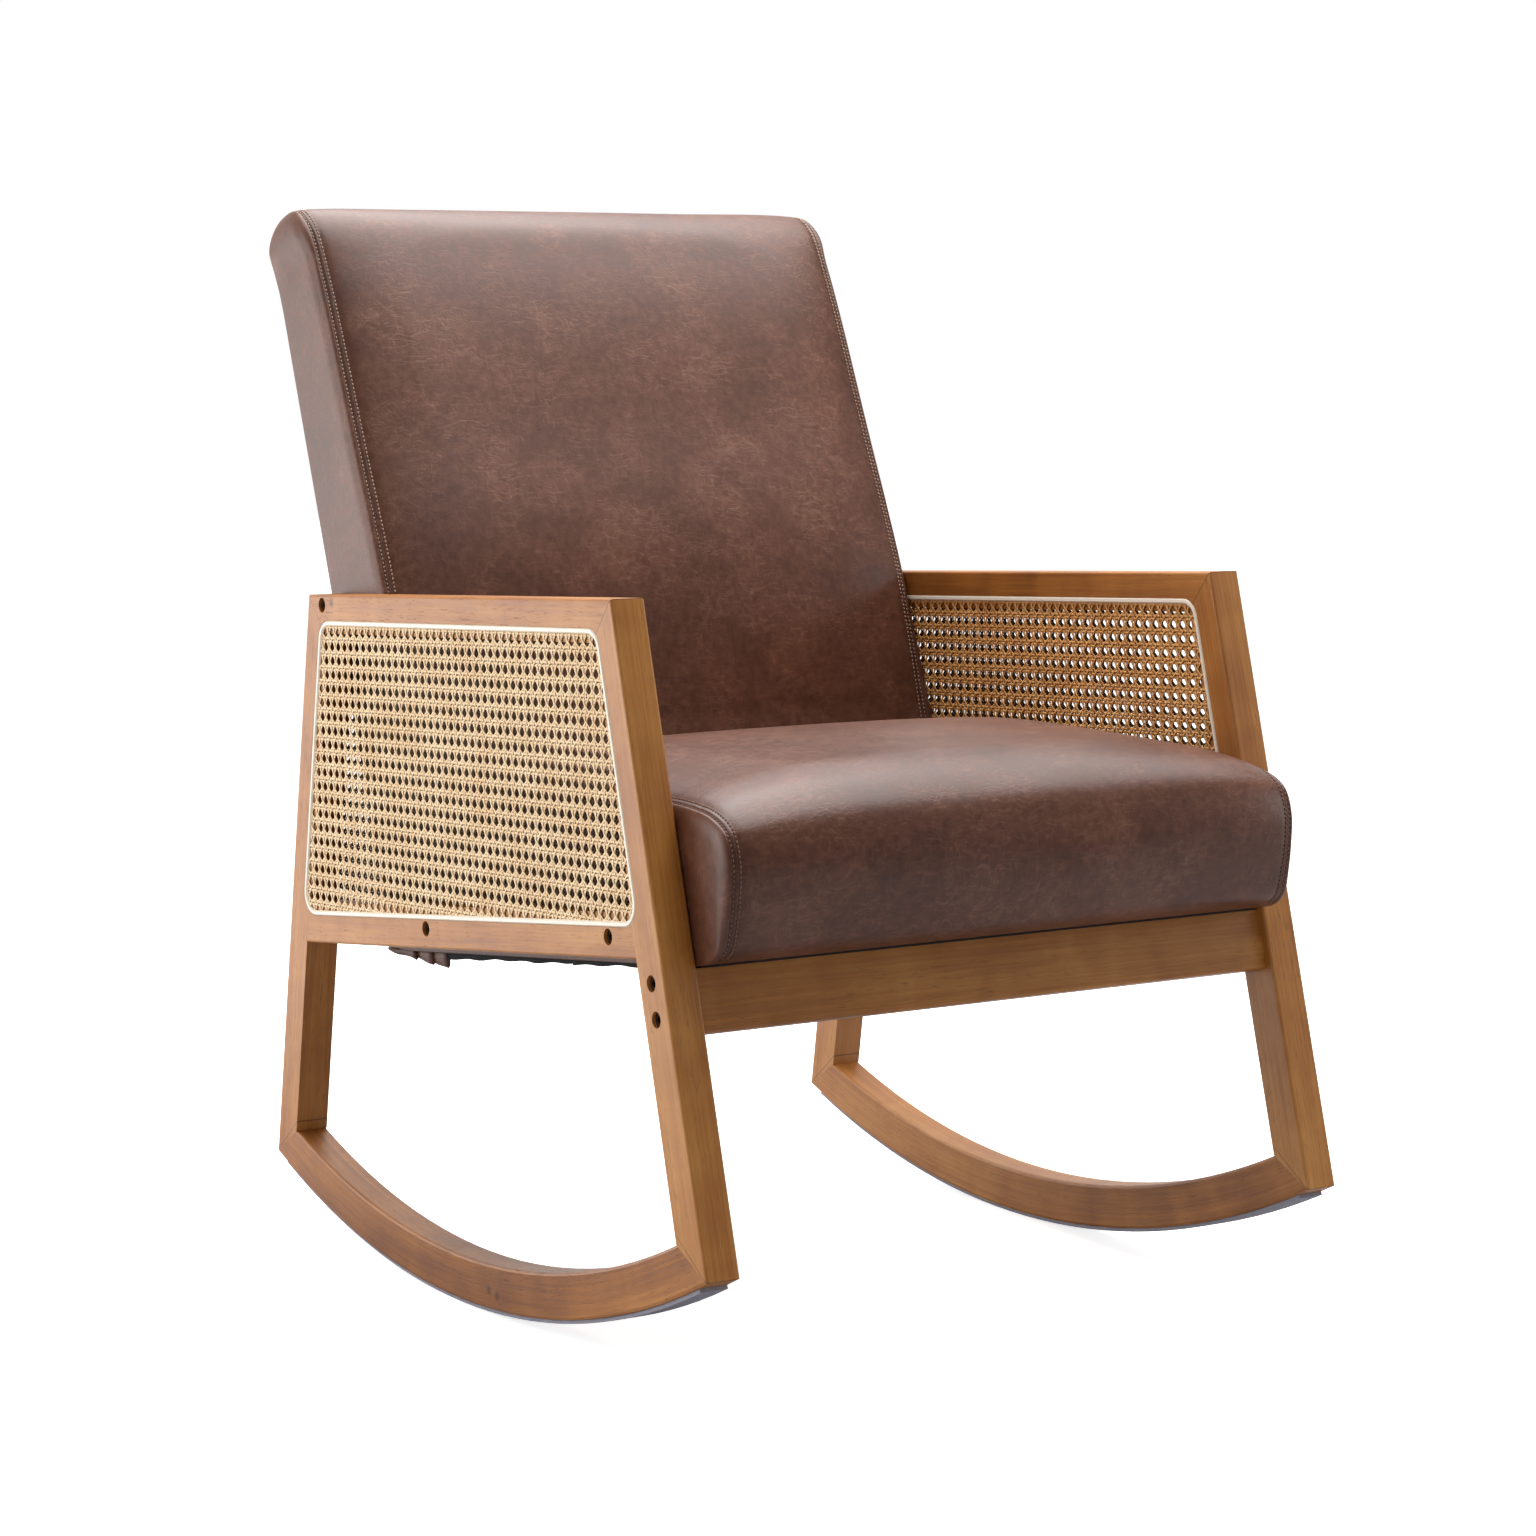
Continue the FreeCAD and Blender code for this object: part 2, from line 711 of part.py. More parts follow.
def bolt(place):
    """A socket head bolt with its head inside the recess."""
    head_start = frame_start.value + size("bolt_head_sink").value
    head_height = size("bolt_head_height").value
    head = side_bar(head_start, place, size("bolt_head_diameter").value / 2, head_height)
    shank_radius = size("bolt_diameter").value / 2
    shank = side_bar(head_start + head_height, place, shank_radius, size("bolt_length").value)
    corners = []
    for step in range(7):
        angle = step * math.pi / 3
        along = place[0].value + math.cos(angle) * size("bolt_socket").value / math.sqrt(3)
        height = place[1].value + math.sin(angle) * size("bolt_socket").value / math.sqrt(3)
        corners.append(FreeCAD.Vector(head_start, along, height))
    socket = Part.Face(Part.makePolygon(corners)).extrude(ACROSS * size("bolt_socket_depth").value)
    return head.fuse(shank).cut(socket)


def threaded_insert(place, start):
    outer = side_bar(start, place, size("insert_diameter").value / 2, size("insert_length").value)
    bore = size("bolt_diameter").value / 2 + size("bolt_play").value
    return outer.cut(side_bar(start, place, bore, size("insert_length").value))


def both_sides(shapes):
    mirrored = [shape.mirror(FreeCAD.Vector(), ACROSS) for shape in shapes]
    return Part.makeCompound(shapes + mirrored)


# frames of the seat and of the back


seat_frame = FreeCAD.Placement(
    FreeCAD.Vector(0, 0, (size("side_rail_height") - size("seat_underside")).value),
    FreeCAD.Rotation(ACROSS, -slope.value),
)
back_frame = FreeCAD.Placement(
    FreeCAD.Vector(0, size("back_start").value, arm_top.value),
    FreeCAD.Rotation(ACROSS, -size("back_rake").value),
)
cushion_half = inner_face - size("cushion_side_gap")
frame_half = cushion_half - size("leather") - size("soft_gap")
rail_base = size("leather") + size("soft_gap")
rail_top = rail_base + size("seat_rail_width")
ledge = rail_top + size("soft_gap") + size("leather")
tilt = size("back_rake") - slope


def back_in_seat(depth, height):
    """A point of the back, by its depth from the rear face and its height, in the seat's own frame."""
    rise = arm_top - size("side_rail_height") + size("seat_underside")
    along = size("back_start") * cosine(slope) - rise * sine(slope)
    up = size("back_start") * sine(slope) + rise * cosine(slope)
    along = along - depth * cosine(tilt) + height * sine(tilt)
    return along, up + depth * sine(tilt) + height * cosine(tilt)


def back_foot(depth):
    """The height in the back's frame of its foot on the seat's rear ledge, at a depth from its rear face."""
    return (ledge + size("soft_gap") - back_in_seat(depth, zero)[1]) / cosine(tilt)


seat_front = -size("seat_front_rail_reach")
seat_nose = seat_front - size("seat_front_room")
seat_rear = back_in_seat(zero, back_foot(zero))[0] - size("seat_rear_setback")
back_toe = back_in_seat(size("back_foot_depth"), back_foot(size("back_foot_depth")))[0]
ledge_start = back_toe - size("seat_back_gap")


def front_rail_top():
    """The height of the front rail's upper front edge, just under the seat's dust cover."""
    inset = size("front_rail_setback")
    below = size("side_rail_height") - (
        size("seat_underside") + size("dust_cover_thickness") + size("soft_gap")
    ) / cosine(slope)
    turn = tangent(slope) * tangent(splay)
    reach = leg_reach(inset, below) / (Size(1.0, "1") + turn)
    return below + reach * tangent(slope)


def front_rail_blank():
    """The raked front rail, bevelled on top to lie under the seat."""
    inset = size("front_rail_setback")
    back = inset + size("front_rail_thickness")
    top = front_rail_top()
    base = top - size("front_rail_width") * cosine(splay)
    turn = tangent(slope) * tangent(splay)
    under = top - leg_reach(inset, top) * tangent(slope)
    rear_reach = leg_reach(back, under) / (Size(1.0, "1") + turn)
    rear_top = under + rear_reach * tangent(slope)
    low_rear = base - size("front_rail_thickness") * sine(splay)
    corners = [
        (-leg_reach(inset, top), top),
        (-rear_reach, rear_top),
        (-leg_reach(back, low_rear), low_rear),
        (-leg_reach(inset, base), base),
    ]
    body = padded_body("front_rail_blank", -inner_face, 2 * inner_face, straight_outline, corners)
    front_low = FreeCAD.Vector(0, corners[3][0].value, corners[3][1].value)

    def lower_front(edge):
        middle = edge.valueAt((edge.FirstParameter + edge.LastParameter) / 2)
        return (middle - front_low).Length < size("glue_line").value

    ease(body, lower_front, size("edge_easing"))
    return body


def box_in(frame, name, low, high):
    """A box between two corners of the seat's or the back's own frame."""
    box = doc.addObject("Part::Box", name)
    for side, near, far in zip(("Length", "Width", "Height"), low, high):
        box.setExpression(side, (far - near).text)
    corner = FreeCAD.Vector(*[place.value for place in low])
    box.Placement = frame.multiply(FreeCAD.Placement(corner, FreeCAD.Rotation()))
    return box


# cushions


def grown(points, amount):
    """The corners of a closed outline moved out by an amount, or in where it is below zero."""
    result = []
    count = len(points)
    for index, point in enumerate(points):
        before = (point - points[index - 1]).normalize()
        after = (points[(index + 1) % count] - point).normalize()
        first = FreeCAD.Vector(0, -before.z, before.y)
        second = FreeCAD.Vector(0, -after.z, after.y)
        result.append(point + (first + second) * (amount / (1 + first.dot(second))))
    return result


def section_wire(points, across, chords):
    """An outline at one place across: chords of the arcs through the first points, then straight edges."""
    places = [FreeCAD.Vector(across, point.y, point.z) for point in points]
    corners = []
    for index in range(0, 2 * outline_arcs, 2):
        arc = Part.Arc(*places[index:index + 3]).toShape()
        corners += arc.discretize(Number=chords + 1)[:-1]
    corners += places[2 * outline_arcs:]
    return Part.makePolygon(corners + corners[:1])


def cushion(outline, inset, chords):
    """A cushion, crowned between its seams and drawn in at its boxed sides, shrunk by an inset."""
    half = cushion_half.value - inset
    seam = half - size("seam_inset").value
    middle = []
    for place, crown in crown_shares:
        middle.append(section_wire(grown(outline(crown, 0.0), -inset), place * seam, chords))
    body = Part.makeLoft(middle, True, True)
    for side in BOTH_ENDS:
        ends = []
        for place, drawn in boxing_shares:
            across = side * (seam + place * (half - seam))
            ends.append(section_wire(grown(outline(0.0, drawn), -inset), across, chords))
        body = body.fuse(Part.makeLoft(ends, True, True))
    return body


def seat_outline(crown, drawn):
    """The seat's side, seen along the chair's width, in the seat's own frame."""
    depth = size("seat_front_depth").value
    height = size("seat_front_height").value
    draw = size("drawn_in").value * drawn
    bulge = size("seat_front_bulge").value * crown
    lift = size("seat_crown").value * crown
    points = []
    for along, up, forward, raised, draw_along, draw_up in seat_front_shares:
        y = seat_nose.value + along * depth - forward * bulge + draw_along * draw
        points.append(FreeCAD.Vector(0, y, up * height + raised * lift + draw_up * draw))
    start = seat_nose.value + depth
    finish = (ledge_start + size("seat_end_lean")).value
    rise = size("seat_top_height").value - height
    for along, up, forward, raised, draw_along, draw_up in seat_top_shares:
        y = start + along * (finish - start)
        points.append(FreeCAD.Vector(0, y, height + up * rise + raised * lift + draw_up * draw))
    rear = (seat_rear + size("leather") + size("soft_gap")).value
    points.append(FreeCAD.Vector(0, ledge_start.value, ledge.value))
    points.append(FreeCAD.Vector(0, rear, ledge.value))
    points.append(FreeCAD.Vector(0, rear, 0))
    return points


def back_outline(crown, drawn):
    """The back's side, seen along the chair's width, in the back's own frame."""
    depth = size("back_depth").value
    top = size("back_top").value
    draw = size("drawn_in").value * drawn
    bulge = size("back_bulge").value * crown
    foot_depth = size("back_foot_depth")
    points = [FreeCAD.Vector(0, -foot_depth.value, back_foot(foot_depth).value)]
    for along, up, forward, raised, draw_along, draw_up in back_front_shares:
        y = -(along * depth + forward * bulge + draw_along * draw)
        points.append(FreeCAD.Vector(0, y, up * top + raised * bulge + draw_up * draw))
    points.append(FreeCAD.Vector(0, 0, back_foot(zero).value))
    return points


# the pieces


def wrap(name, pieces):
    """A group of separate solids as one node."""
    group = doc.addObject("Part::Compound", name)
    group.Links = pieces
    return group


def mirrored(name, source):
    """The right-hand twin of a left-hand piece."""
    twin = doc.addObject("Part::Mirroring", name)
    twin.Source = source
    twin.Normal = ACROSS
    twin.Label = name
    twins.append(twin)


def make_side_frames():
    recess = panel_recess()
    mortises = loose_tenons("left_mortises")
    arm_holes = bolt_holes("arm_bolt_holes", arm_bolts())
    rail_holes = bolt_holes("rail_bolt_holes", seat_bolts())
    leg_holes = bolt_holes("leg_bolt_holes", front_rail_bolts())
    keep(cut("left_arm_rail", arm_rail_blank(), [recess, mortises, arm_holes]))
    front_leg = leg_blank("left_front_leg", FRONT)
    keep(cut("left_front_leg", front_leg, [recess, mortises, leg_holes]))
    keep(cut("left_rear_leg", leg_blank("left_rear_leg", REAR), [recess, mortises]))
    keep(cut("left_side_rail", side_rail_blank(), [recess, mortises, rail_holes]))
    keep(cut("left_rocker", rocker(), [mortises]))
    keep(wrap("left_loose_tenons", [mortises]))
    keep(felt_strip("left_felt_strip"))
    rise = size("spline_rise")
    keep(spline("left_outer_spline", frame_start - rise, -1))
    inner_start = frame_start + size("frame_thickness") - size("groove_depth") + size("glue_line")
    keep(spline("left_inner_spline", inner_start, 1))
    keep(cane_sheet("left_outer_cane", frame_start))
    inner_cane_start = frame_start + size("frame_thickness") - size("cane_thickness")
    keep(cane_sheet("left_inner_cane", inner_cane_start))
    for piece in list(nodes):
        mirrored(piece.Name.replace("left_", "right_"), piece)


def make_front_rail():
    start = -(inner_face + size("overrun")).value
    holes = insert_holes("front_rail_insert_holes", front_rail_bolts(), start)
    far_holes = doc.addObject("Part::Mirroring", "front_rail_far_holes")
    far_holes.Source = holes
    far_holes.Normal = ACROSS
    keep(cut("front_rail", front_rail_blank(), [holes, far_holes]))


def make_fasteners():
    into_rail = front_rail_bolts()
    into_cushions = seat_bolts() + arm_bolts()
    bolts = [bolt(place) for place in into_rail + into_cushions]
    keep(feature("side_frame_bolts", both_sides(bolts)))
    inserts = [threaded_insert(place, -inner_face.value) for place in into_rail]
    inserts += [threaded_insert(place, -frame_half.value) for place in into_cushions]
    keep(feature("threaded_inserts", both_sides(inserts)))


def back_bolt_parts(head_radius, shank_radius, shank_length):
    """An upright bolt, or its hole, from the seat's side rail into the back's stile."""
    across = size("seat_rail_thickness") / 2 - frame_half
    along = seat_rear - size("back_bolt_inset")
    base = FreeCAD.Vector(across.value, along.value, rail_base.value)
    up = FreeCAD.Vector(0, 0, 1)
    head = flat_sided(base, up, head_radius, size("bolt_head_height").value)
    shank = flat_sided(base, up, shank_radius, shank_length)
    return head.fuse(shank).transformGeometry(seat_frame.toMatrix())


def seat_corner_blocks():
    leg = size("corner_block_leg").value
    height = size("corner_block_height").value
    inside = (frame_half - size("seat_rail_thickness")).value
    front = (seat_front + size("seat_rail_thickness")).value
    rear = (seat_rear - size("seat_rail_thickness")).value
    base = (rail_base.value + rail_top.value - height) / 2
    blocks = []
    for side in BOTH_ENDS:
        for along, inward in ((front, 1), (rear, -1)):
            corner = FreeCAD.Vector(side * inside, along, base)
            beside = corner - ACROSS * (side * leg)
            points = [corner, beside, corner + FreeCAD.Vector(0, inward * leg, 0), corner]
            blocks.append(Part.Face(Part.makePolygon(points)).extrude(FreeCAD.Vector(0, 0, height)))
    result = feature("seat_corner_blocks", Part.makeCompound(blocks))
    result.Placement = seat_frame
    return result


def straps(name, frame, first, last, low, along_axis):
    """Straps stretched across a frame, evenly spaced between two places."""
    width = size("strap_width").value
    count = int((last - first - width) // size("strap_spacing").value) + 1
    step = (last - first - width) / max(count - 1, 1)
    thick = size("strap_thickness").value
    reach = frame_half.value
    bands = []
    for number in range(count):
        start = first + number * step
        if along_axis == "y":
            band = Part.makeBox(2 * reach, width, thick, FreeCAD.Vector(-reach, start, low))
        else:
            band = Part.makeBox(2 * reach, thick, width, FreeCAD.Vector(-reach, low, start))
        bands.append(band)
    result = feature(name, Part.makeCompound(bands))
    result.Placement = frame
    return result


def make_seat():
    thickness = size("seat_rail_thickness")
    inside = frame_half - thickness
    past = size("overrun")
    gap = size("soft_gap")
    side_holes = insert_holes("seat_insert_holes", seat_bolts(), -(frame_half + past).value)
    hole_radius = size("bolt_hole_diameter").value / 2
    head_radius = size("bolt_recess_diameter").value / 2
    upright = back_bolt_parts(head_radius, hole_radius, (size("back_bolt_length") + past).value)
    upright_hole = feature("left_back_bolt_hole", upright)
    corners = ((-frame_half, seat_front, rail_base), (-inside, seat_rear, rail_top))
    blank = box_in(seat_frame, "seat_left_rail_blank", *corners)
    left = keep(cut("seat_frame_left_rail", blank, [side_holes, upright_hole]))
    mirrored("seat_frame_right_rail", left)
    ends = {"front": (seat_front, seat_front + thickness), "rear": (seat_rear - thickness, seat_rear)}
    for name, (near, far) in ends.items():
        corners = ((-inside, near, rail_base), (inside, far, rail_top))
        keep(box_in(seat_frame, f"seat_frame_{name}_rail", *corners))
    keep(seat_corner_blocks())
    strap_end = ledge_start - 2 * size("leather")
    strap_ends = (seat_front.value, strap_end.value)
    keep(straps("seat_webbing_straps", seat_frame, *strap_ends, rail_top.value, "y"))
    shell = size("leather").value
    outer = cushion(seat_outline, 0, cover_chords)
    inner = cushion(seat_outline, shell, filling_chords)
    flange = size("seat_flange")
    reach = (frame_half - flange).value
    length = (seat_rear - seat_front - 2 * flange).value
    corner = FreeCAD.Vector(-reach, (seat_front + flange).value, -past.value)
    opening = Part.makeBox(2 * reach, length, past.value + shell, corner)
    leather = outer.cut(inner).cut(opening)
    leather.Placement = seat_frame
    bolt_tools = bolt_holes("seat_cover_bolt_holes", seat_bolts()).Shape
    for tool in (bolt_tools, upright):
        leather = leather.cut(tool).cut(tool.mirror(FreeCAD.Vector(), ACROSS))
    keep(feature("seat_cover", leather))
    core = cushion(seat_outline, (size("leather") + gap).value, filling_chords)
    reach = half_width.value
    length = (seat_rear - seat_front + gap + past).value
    height = (rail_top + size("strap_thickness") + gap + past).value
    corner = FreeCAD.Vector(-reach, (seat_front - gap).value, -past.value)
    foam = feature("seat_foam", core.cut(Part.makeBox(2 * reach, length, height, corner)))
    foam.Placement = seat_frame
    keep(foam)
    margin = size("dust_cover_margin")
    turn = seat_nose + seat_front_shares[0][0] * size("seat_front_depth")
    sheet_low = (margin - cushion_half, turn + margin, -size("dust_cover_thickness"))
    sheet_high = (cushion_half - margin, seat_rear - margin, zero)
    keep(box_in(seat_frame, "seat_dust_cover", sheet_low, sheet_high))
    return upright_hole


def make_back(upright_hole):
    rear = -(size("leather") + size("soft_gap"))
    front = rear - size("stile_depth")
    top = size("back_frame_top")
    low = back_foot(size("back_foot_depth"))
    past = size("overrun")
    gap = size("soft_gap")
    plane_high = (half_width, 2 * seat_rear, ledge + 2 * gap + size("leather"))
    plane = box_in(seat_frame, "back_foot_plane", (-half_width, zero, -rail_top), plane_high)
    side_holes = insert_holes("back_insert_holes", arm_bolts(), -(frame_half + past).value)
    inside = frame_half - size("stile_thickness")
    blank = box_in(back_frame, "back_left_stile_blank", (-frame_half, front, low), (-inside, rear, top))
    left = keep(cut("back_frame_left_stile", blank, [plane, side_holes, upright_hole]))
    mirrored("back_frame_right_stile", left)
    rail_front = rear - size("back_rail_thickness")
    width = size("back_rail_width")
    keep(box_in(back_frame, "back_frame_top_rail", (-inside, rail_front, top - width), (inside, rear, top)))
    corners = ((-inside, rail_front, low), (inside, rear, low + 2 * width))
    low_blank = box_in(back_frame, "back_low_rail_blank", *corners)
    keep(cut("back_frame_bottom_rail", low_blank, [plane]))
    strap_ends = ((low + width).value, top.value)
    strap_front = front - size("strap_thickness")
    keep(straps("back_webbing_straps", back_frame, *strap_ends, strap_front.value, "z"))
    shell = size("leather").value
    outer = cushion(back_outline, 0, cover_chords)
    inner = cushion(back_outline, shell, filling_chords)
    margin = size("back_panel_margin")
    panel_reach = cushion_half - margin
    panel_low = back_foot(zero) + margin
    panel_top = size("back_panel_top")
    corner = FreeCAD.Vector(-panel_reach.value, rear.value, panel_low.value)
    depth = (past - rear).value
    opening = Part.makeBox(2 * panel_reach.value, depth, (panel_top - panel_low).value, corner)
    leather = outer.cut(inner).cut(opening)
    leather.Placement = back_frame
    bolt_tools = bolt_holes("back_cover_bolt_holes", arm_bolts()).Shape
    for tool in (bolt_tools, upright_hole.Shape):
        leather = leather.cut(tool).cut(tool.mirror(FreeCAD.Vector(), ACROSS))
    keep(feature("back_cover", leather))
    core = cushion(back_outline, (size("leather") + gap).value, filling_chords)
    reach = half_width.value
    deepest = strap_front - gap
    corner = FreeCAD.Vector(-reach, deepest.value, (2 * low).value)
    room = Part.makeBox(2 * reach, (past - deepest).value, (top + gap - 2 * low).value, corner)
    foam = feature("back_foam", core.cut(room))
    foam.Placement = back_frame
    keep(foam)
    panel_corner = (gap - panel_reach, -size("leather"), panel_low + gap)
    keep(box_in(back_frame, "back_rear_panel", panel_corner, (panel_reach - gap, zero, panel_top - gap)))


def make_back_bolts():
    shape = back_bolt_parts(
        size("bolt_head_diameter").value / 2, size("bolt_diameter").value / 2, size("back_bolt_length").value
    )
    keep(feature("back_bolts", both_sides([shape])))


make_side_frames()
make_front_rail()
make_fasteners()
make_back(make_seat())
make_back_bolts()
doc.recompute()


def rest():
    """Leans the chair back on its rockers, stands it on the floor and centres it."""
    lean = FreeCAD.Placement(FreeCAD.Vector(), FreeCAD.Rotation(ACROSS, -size("rest_lean").value))
    leaned = Part.makeCompound([piece.Shape for piece in nodes])
    leaned.Placement = lean
    bounds = leaned.optimalBoundingBox(False)
    centre = lean.multVec(FreeCAD.Vector(0, 0, rocker_radius.value))
    drop = rocker_radius + size("glue_line") + size("felt_thickness")
    middle = (bounds.YMin + bounds.YMax) / 2
    chair = FreeCAD.Placement(FreeCAD.Vector(0, -middle, drop.value - centre.z), lean.Rotation)
    for piece in nodes:
        piece.Placement = chair.multiply(piece.Placement)
    doc.recompute()


rest()


def check():
    for item in doc.Objects:
        if "Invalid" in item.State or "Error" in item.State:
            raise RuntimeError(f"{item.Name} failed to build")
    for piece in pieces:
        if piece.Shape.isNull() or not piece.Shape.isValid():
            raise RuntimeError(f"{piece.Name} has no valid shape")


pieces = nodes + twins
check()
os.makedirs("parts", exist_ok=True)
for piece in pieces:
    piece.Shape.exportStep(f"parts/{piece.Label}.step")
print(len(pieces), "pieces written")
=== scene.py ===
"""An upholstered rocking chair: mitred wooden side frames with woven cane, and a leather seat and back."""

import math

import bmesh
import bpy
import numpy as np
from mathutils import Matrix, Vector


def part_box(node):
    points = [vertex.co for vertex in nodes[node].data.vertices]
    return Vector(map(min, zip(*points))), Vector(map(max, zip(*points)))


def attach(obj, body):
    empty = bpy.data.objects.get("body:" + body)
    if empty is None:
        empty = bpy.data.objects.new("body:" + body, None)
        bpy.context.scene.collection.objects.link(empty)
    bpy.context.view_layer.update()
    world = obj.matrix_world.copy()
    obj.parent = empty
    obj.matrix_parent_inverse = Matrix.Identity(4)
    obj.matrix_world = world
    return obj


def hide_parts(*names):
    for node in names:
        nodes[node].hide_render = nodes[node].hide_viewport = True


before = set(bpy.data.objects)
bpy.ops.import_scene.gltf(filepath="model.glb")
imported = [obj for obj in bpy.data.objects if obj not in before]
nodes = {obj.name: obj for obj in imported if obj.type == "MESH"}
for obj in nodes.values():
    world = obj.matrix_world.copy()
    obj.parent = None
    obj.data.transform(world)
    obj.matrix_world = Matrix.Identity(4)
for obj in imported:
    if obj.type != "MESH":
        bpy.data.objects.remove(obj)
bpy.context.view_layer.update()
chair = bpy.context.scene.collection


# The studio
# A white floor and a white wall, with a wide soft light overhead, one low behind the chair and one on each
# side of it. The camera stands in front and to the chair's left, a little above the arms.

camera_place = Vector((-1.7736, -2.85806, 0.81577))
camera_yaw = math.radians(31.909)
camera_pitch = math.radians(-6.849)
camera_nod = math.radians(0.624)
camera_data = bpy.data.cameras.new("camera")
camera_data.sensor_width = 36.0
camera_data.lens = 88.94
camera = bpy.data.objects.new("camera", camera_data)
chair.objects.link(camera)
look = Vector(
    (
        math.sin(camera_yaw) * math.cos(camera_pitch),
        math.cos(camera_yaw) * math.cos(camera_pitch),
        math.sin(camera_pitch),
    )
)
rightward = Vector((math.cos(camera_yaw), -math.sin(camera_yaw), 0.0))
upward = rightward.cross(look)
facing = Matrix((rightward, upward, -look)).transposed().to_4x4()
camera.matrix_world = Matrix.Translation(camera_place) @ Matrix.Rotation(camera_nod, 4, "X") @ facing
bpy.context.scene.camera = camera
bpy.context.scene.view_settings.view_transform = "Standard"


def soft_light(name, place, target, wide, high, power):
    """A rectangular studio light that faces a point."""
    data = bpy.data.lights.new(name, "AREA")
    data.shape = "RECTANGLE"
    data.size = wide
    data.size_y = high
    data.energy = power
    light = bpy.data.objects.new(name, data)
    light.location = place
    light.visible_camera = False
    light.rotation_euler = (Vector(target) - Vector(place)).to_track_quat("-Z", "Y").to_euler()
    chair.objects.link(light)


middle = (0.0, 0.0, 0.5)
soft_light("overhead_light", (0.5, 0.3, 2.7), middle, 3.2, 2.4, 124.0)
soft_light("rear_left_light", (-2.1, 2.7, 0.6), middle, 3.0, 1.1, 15.0)
soft_light("left_light", (-3.0, 1.1, 1.25), middle, 1.6, 2.0, 34.0)
soft_light("right_light", (2.9, -1.5, 1.0), middle, 1.2, 1.6, 15.0)

world = bpy.data.worlds.new("studio")
world.use_nodes = True
bpy.context.scene.world = world


class Wire:
    """A socket of a node tree that can stand in a sum, with numbers or other wires."""

    def __init__(self, tree, socket=None):
        self.tree = tree
        self.socket = socket

    def node(self, kind, sockets=None, output=0, **settings):
        """Any node: first its settings, then the values or wires of its sockets, by name or number."""
        node = self.tree.nodes.new(kind)
        for name, value in settings.items():
            if name == "stops":
                elements = node.color_ramp.elements
                for number, (place, colour) in enumerate(value):
                    stop = elements[number] if number < 2 else elements.new(place)
                    stop.position = place
                    stop.color = colour
            else:
                setattr(node, name, value)
        for key, value in (sockets or {}).items():
            if isinstance(key, int):
                socket = node.inputs[key]
            else:
                socket = next(item for item in node.inputs if key in (item.identifier, item.name))
            if isinstance(value, Wire):
                self.tree.links.new(value.socket, socket)
            else:
                socket.default_value = value
        if isinstance(output, str):
            output = next(n for n, item in enumerate(node.outputs) if output in (item.identifier, item.name))
        return Wire(self.tree, node.outputs[output])

    def math(self, operation, *terms):
        return self.node("ShaderNodeMath", dict(enumerate(terms)), operation=operation)

    def vector_math(self, operation, *terms, output="Vector"):
        return self.node("ShaderNodeVectorMath", dict(enumerate(terms)), output, operation=operation)

    def __add__(self, other):
        return self.math("ADD", self, other)

    __radd__ = __add__

    def __sub__(self, other):
        return self.math("SUBTRACT", self, other)

    def __rsub__(self, other):
        return self.math("SUBTRACT", other, self)

    def __mul__(self, other):
        return self.math("MULTIPLY", self, other)

    __rmul__ = __mul__

    def __abs__(self):
        return self.math("ABSOLUTE", self)

    def spot(self, kind="Object"):
        """The place of the point that is coloured."""
        return self.node("ShaderNodeTexCoord", output=kind)

    def stretched(self, across, along, through):
        """A vector scaled by three numbers."""
        return self.vector_math("MULTIPLY", self, (across, along, through))

    def along(self, direction):
        """How far a vector reaches in a direction."""
        return self.vector_math("DOT_PRODUCT", self, direction, output="Value")

    def less(self, point):
        """A vector from a point to this one."""
        return self.vector_math("SUBTRACT", self, point)

    def length(self):
        return self.vector_math("LENGTH", self, output="Value")

    def mapped(self, **change):
        """A vector that is moved by its Location or turned by its Rotation."""
        return self.node("ShaderNodeMapping", {"Vector": self, **change})

    def noise(self, scale, detail=2.0, distortion=0.0):
        sockets = {"Vector": self, "Scale": scale, "Detail": detail, "Distortion": distortion}
        return self.node("ShaderNodeTexNoise", sockets)

    def between(self, low, high):
        """Nought below one number, one above the other, and smooth in between."""
        sockets = {"Value": self, "From Min": low, "From Max": high}
        return self.node("ShaderNodeMapRange", sockets, interpolation_type="SMOOTHSTEP")

    def mix(self, first, second):
        """Two colours mixed by this wire."""
        sockets = {"Factor_Float": self, "A_Color": first, "B_Color": second}
        return self.node("ShaderNodeMix", sockets, "Result_Color", data_type="RGBA")

    def ramp(self, *stops):
        """A colour from places along this wire and their colours."""
        return self.node("ShaderNodeValToRGB", {"Fac": self}, stops=stops)


def srgb(red, green, blue):
    """A colour from its 0 to 255 screen values."""
    linear = []
    for value in (red, green, blue):
        share = value / 255
        linear.append(share / 12.92 if share <= 0.04045 else ((share + 0.055) / 1.055) ** 2.4)
    return (*linear, 1.0)


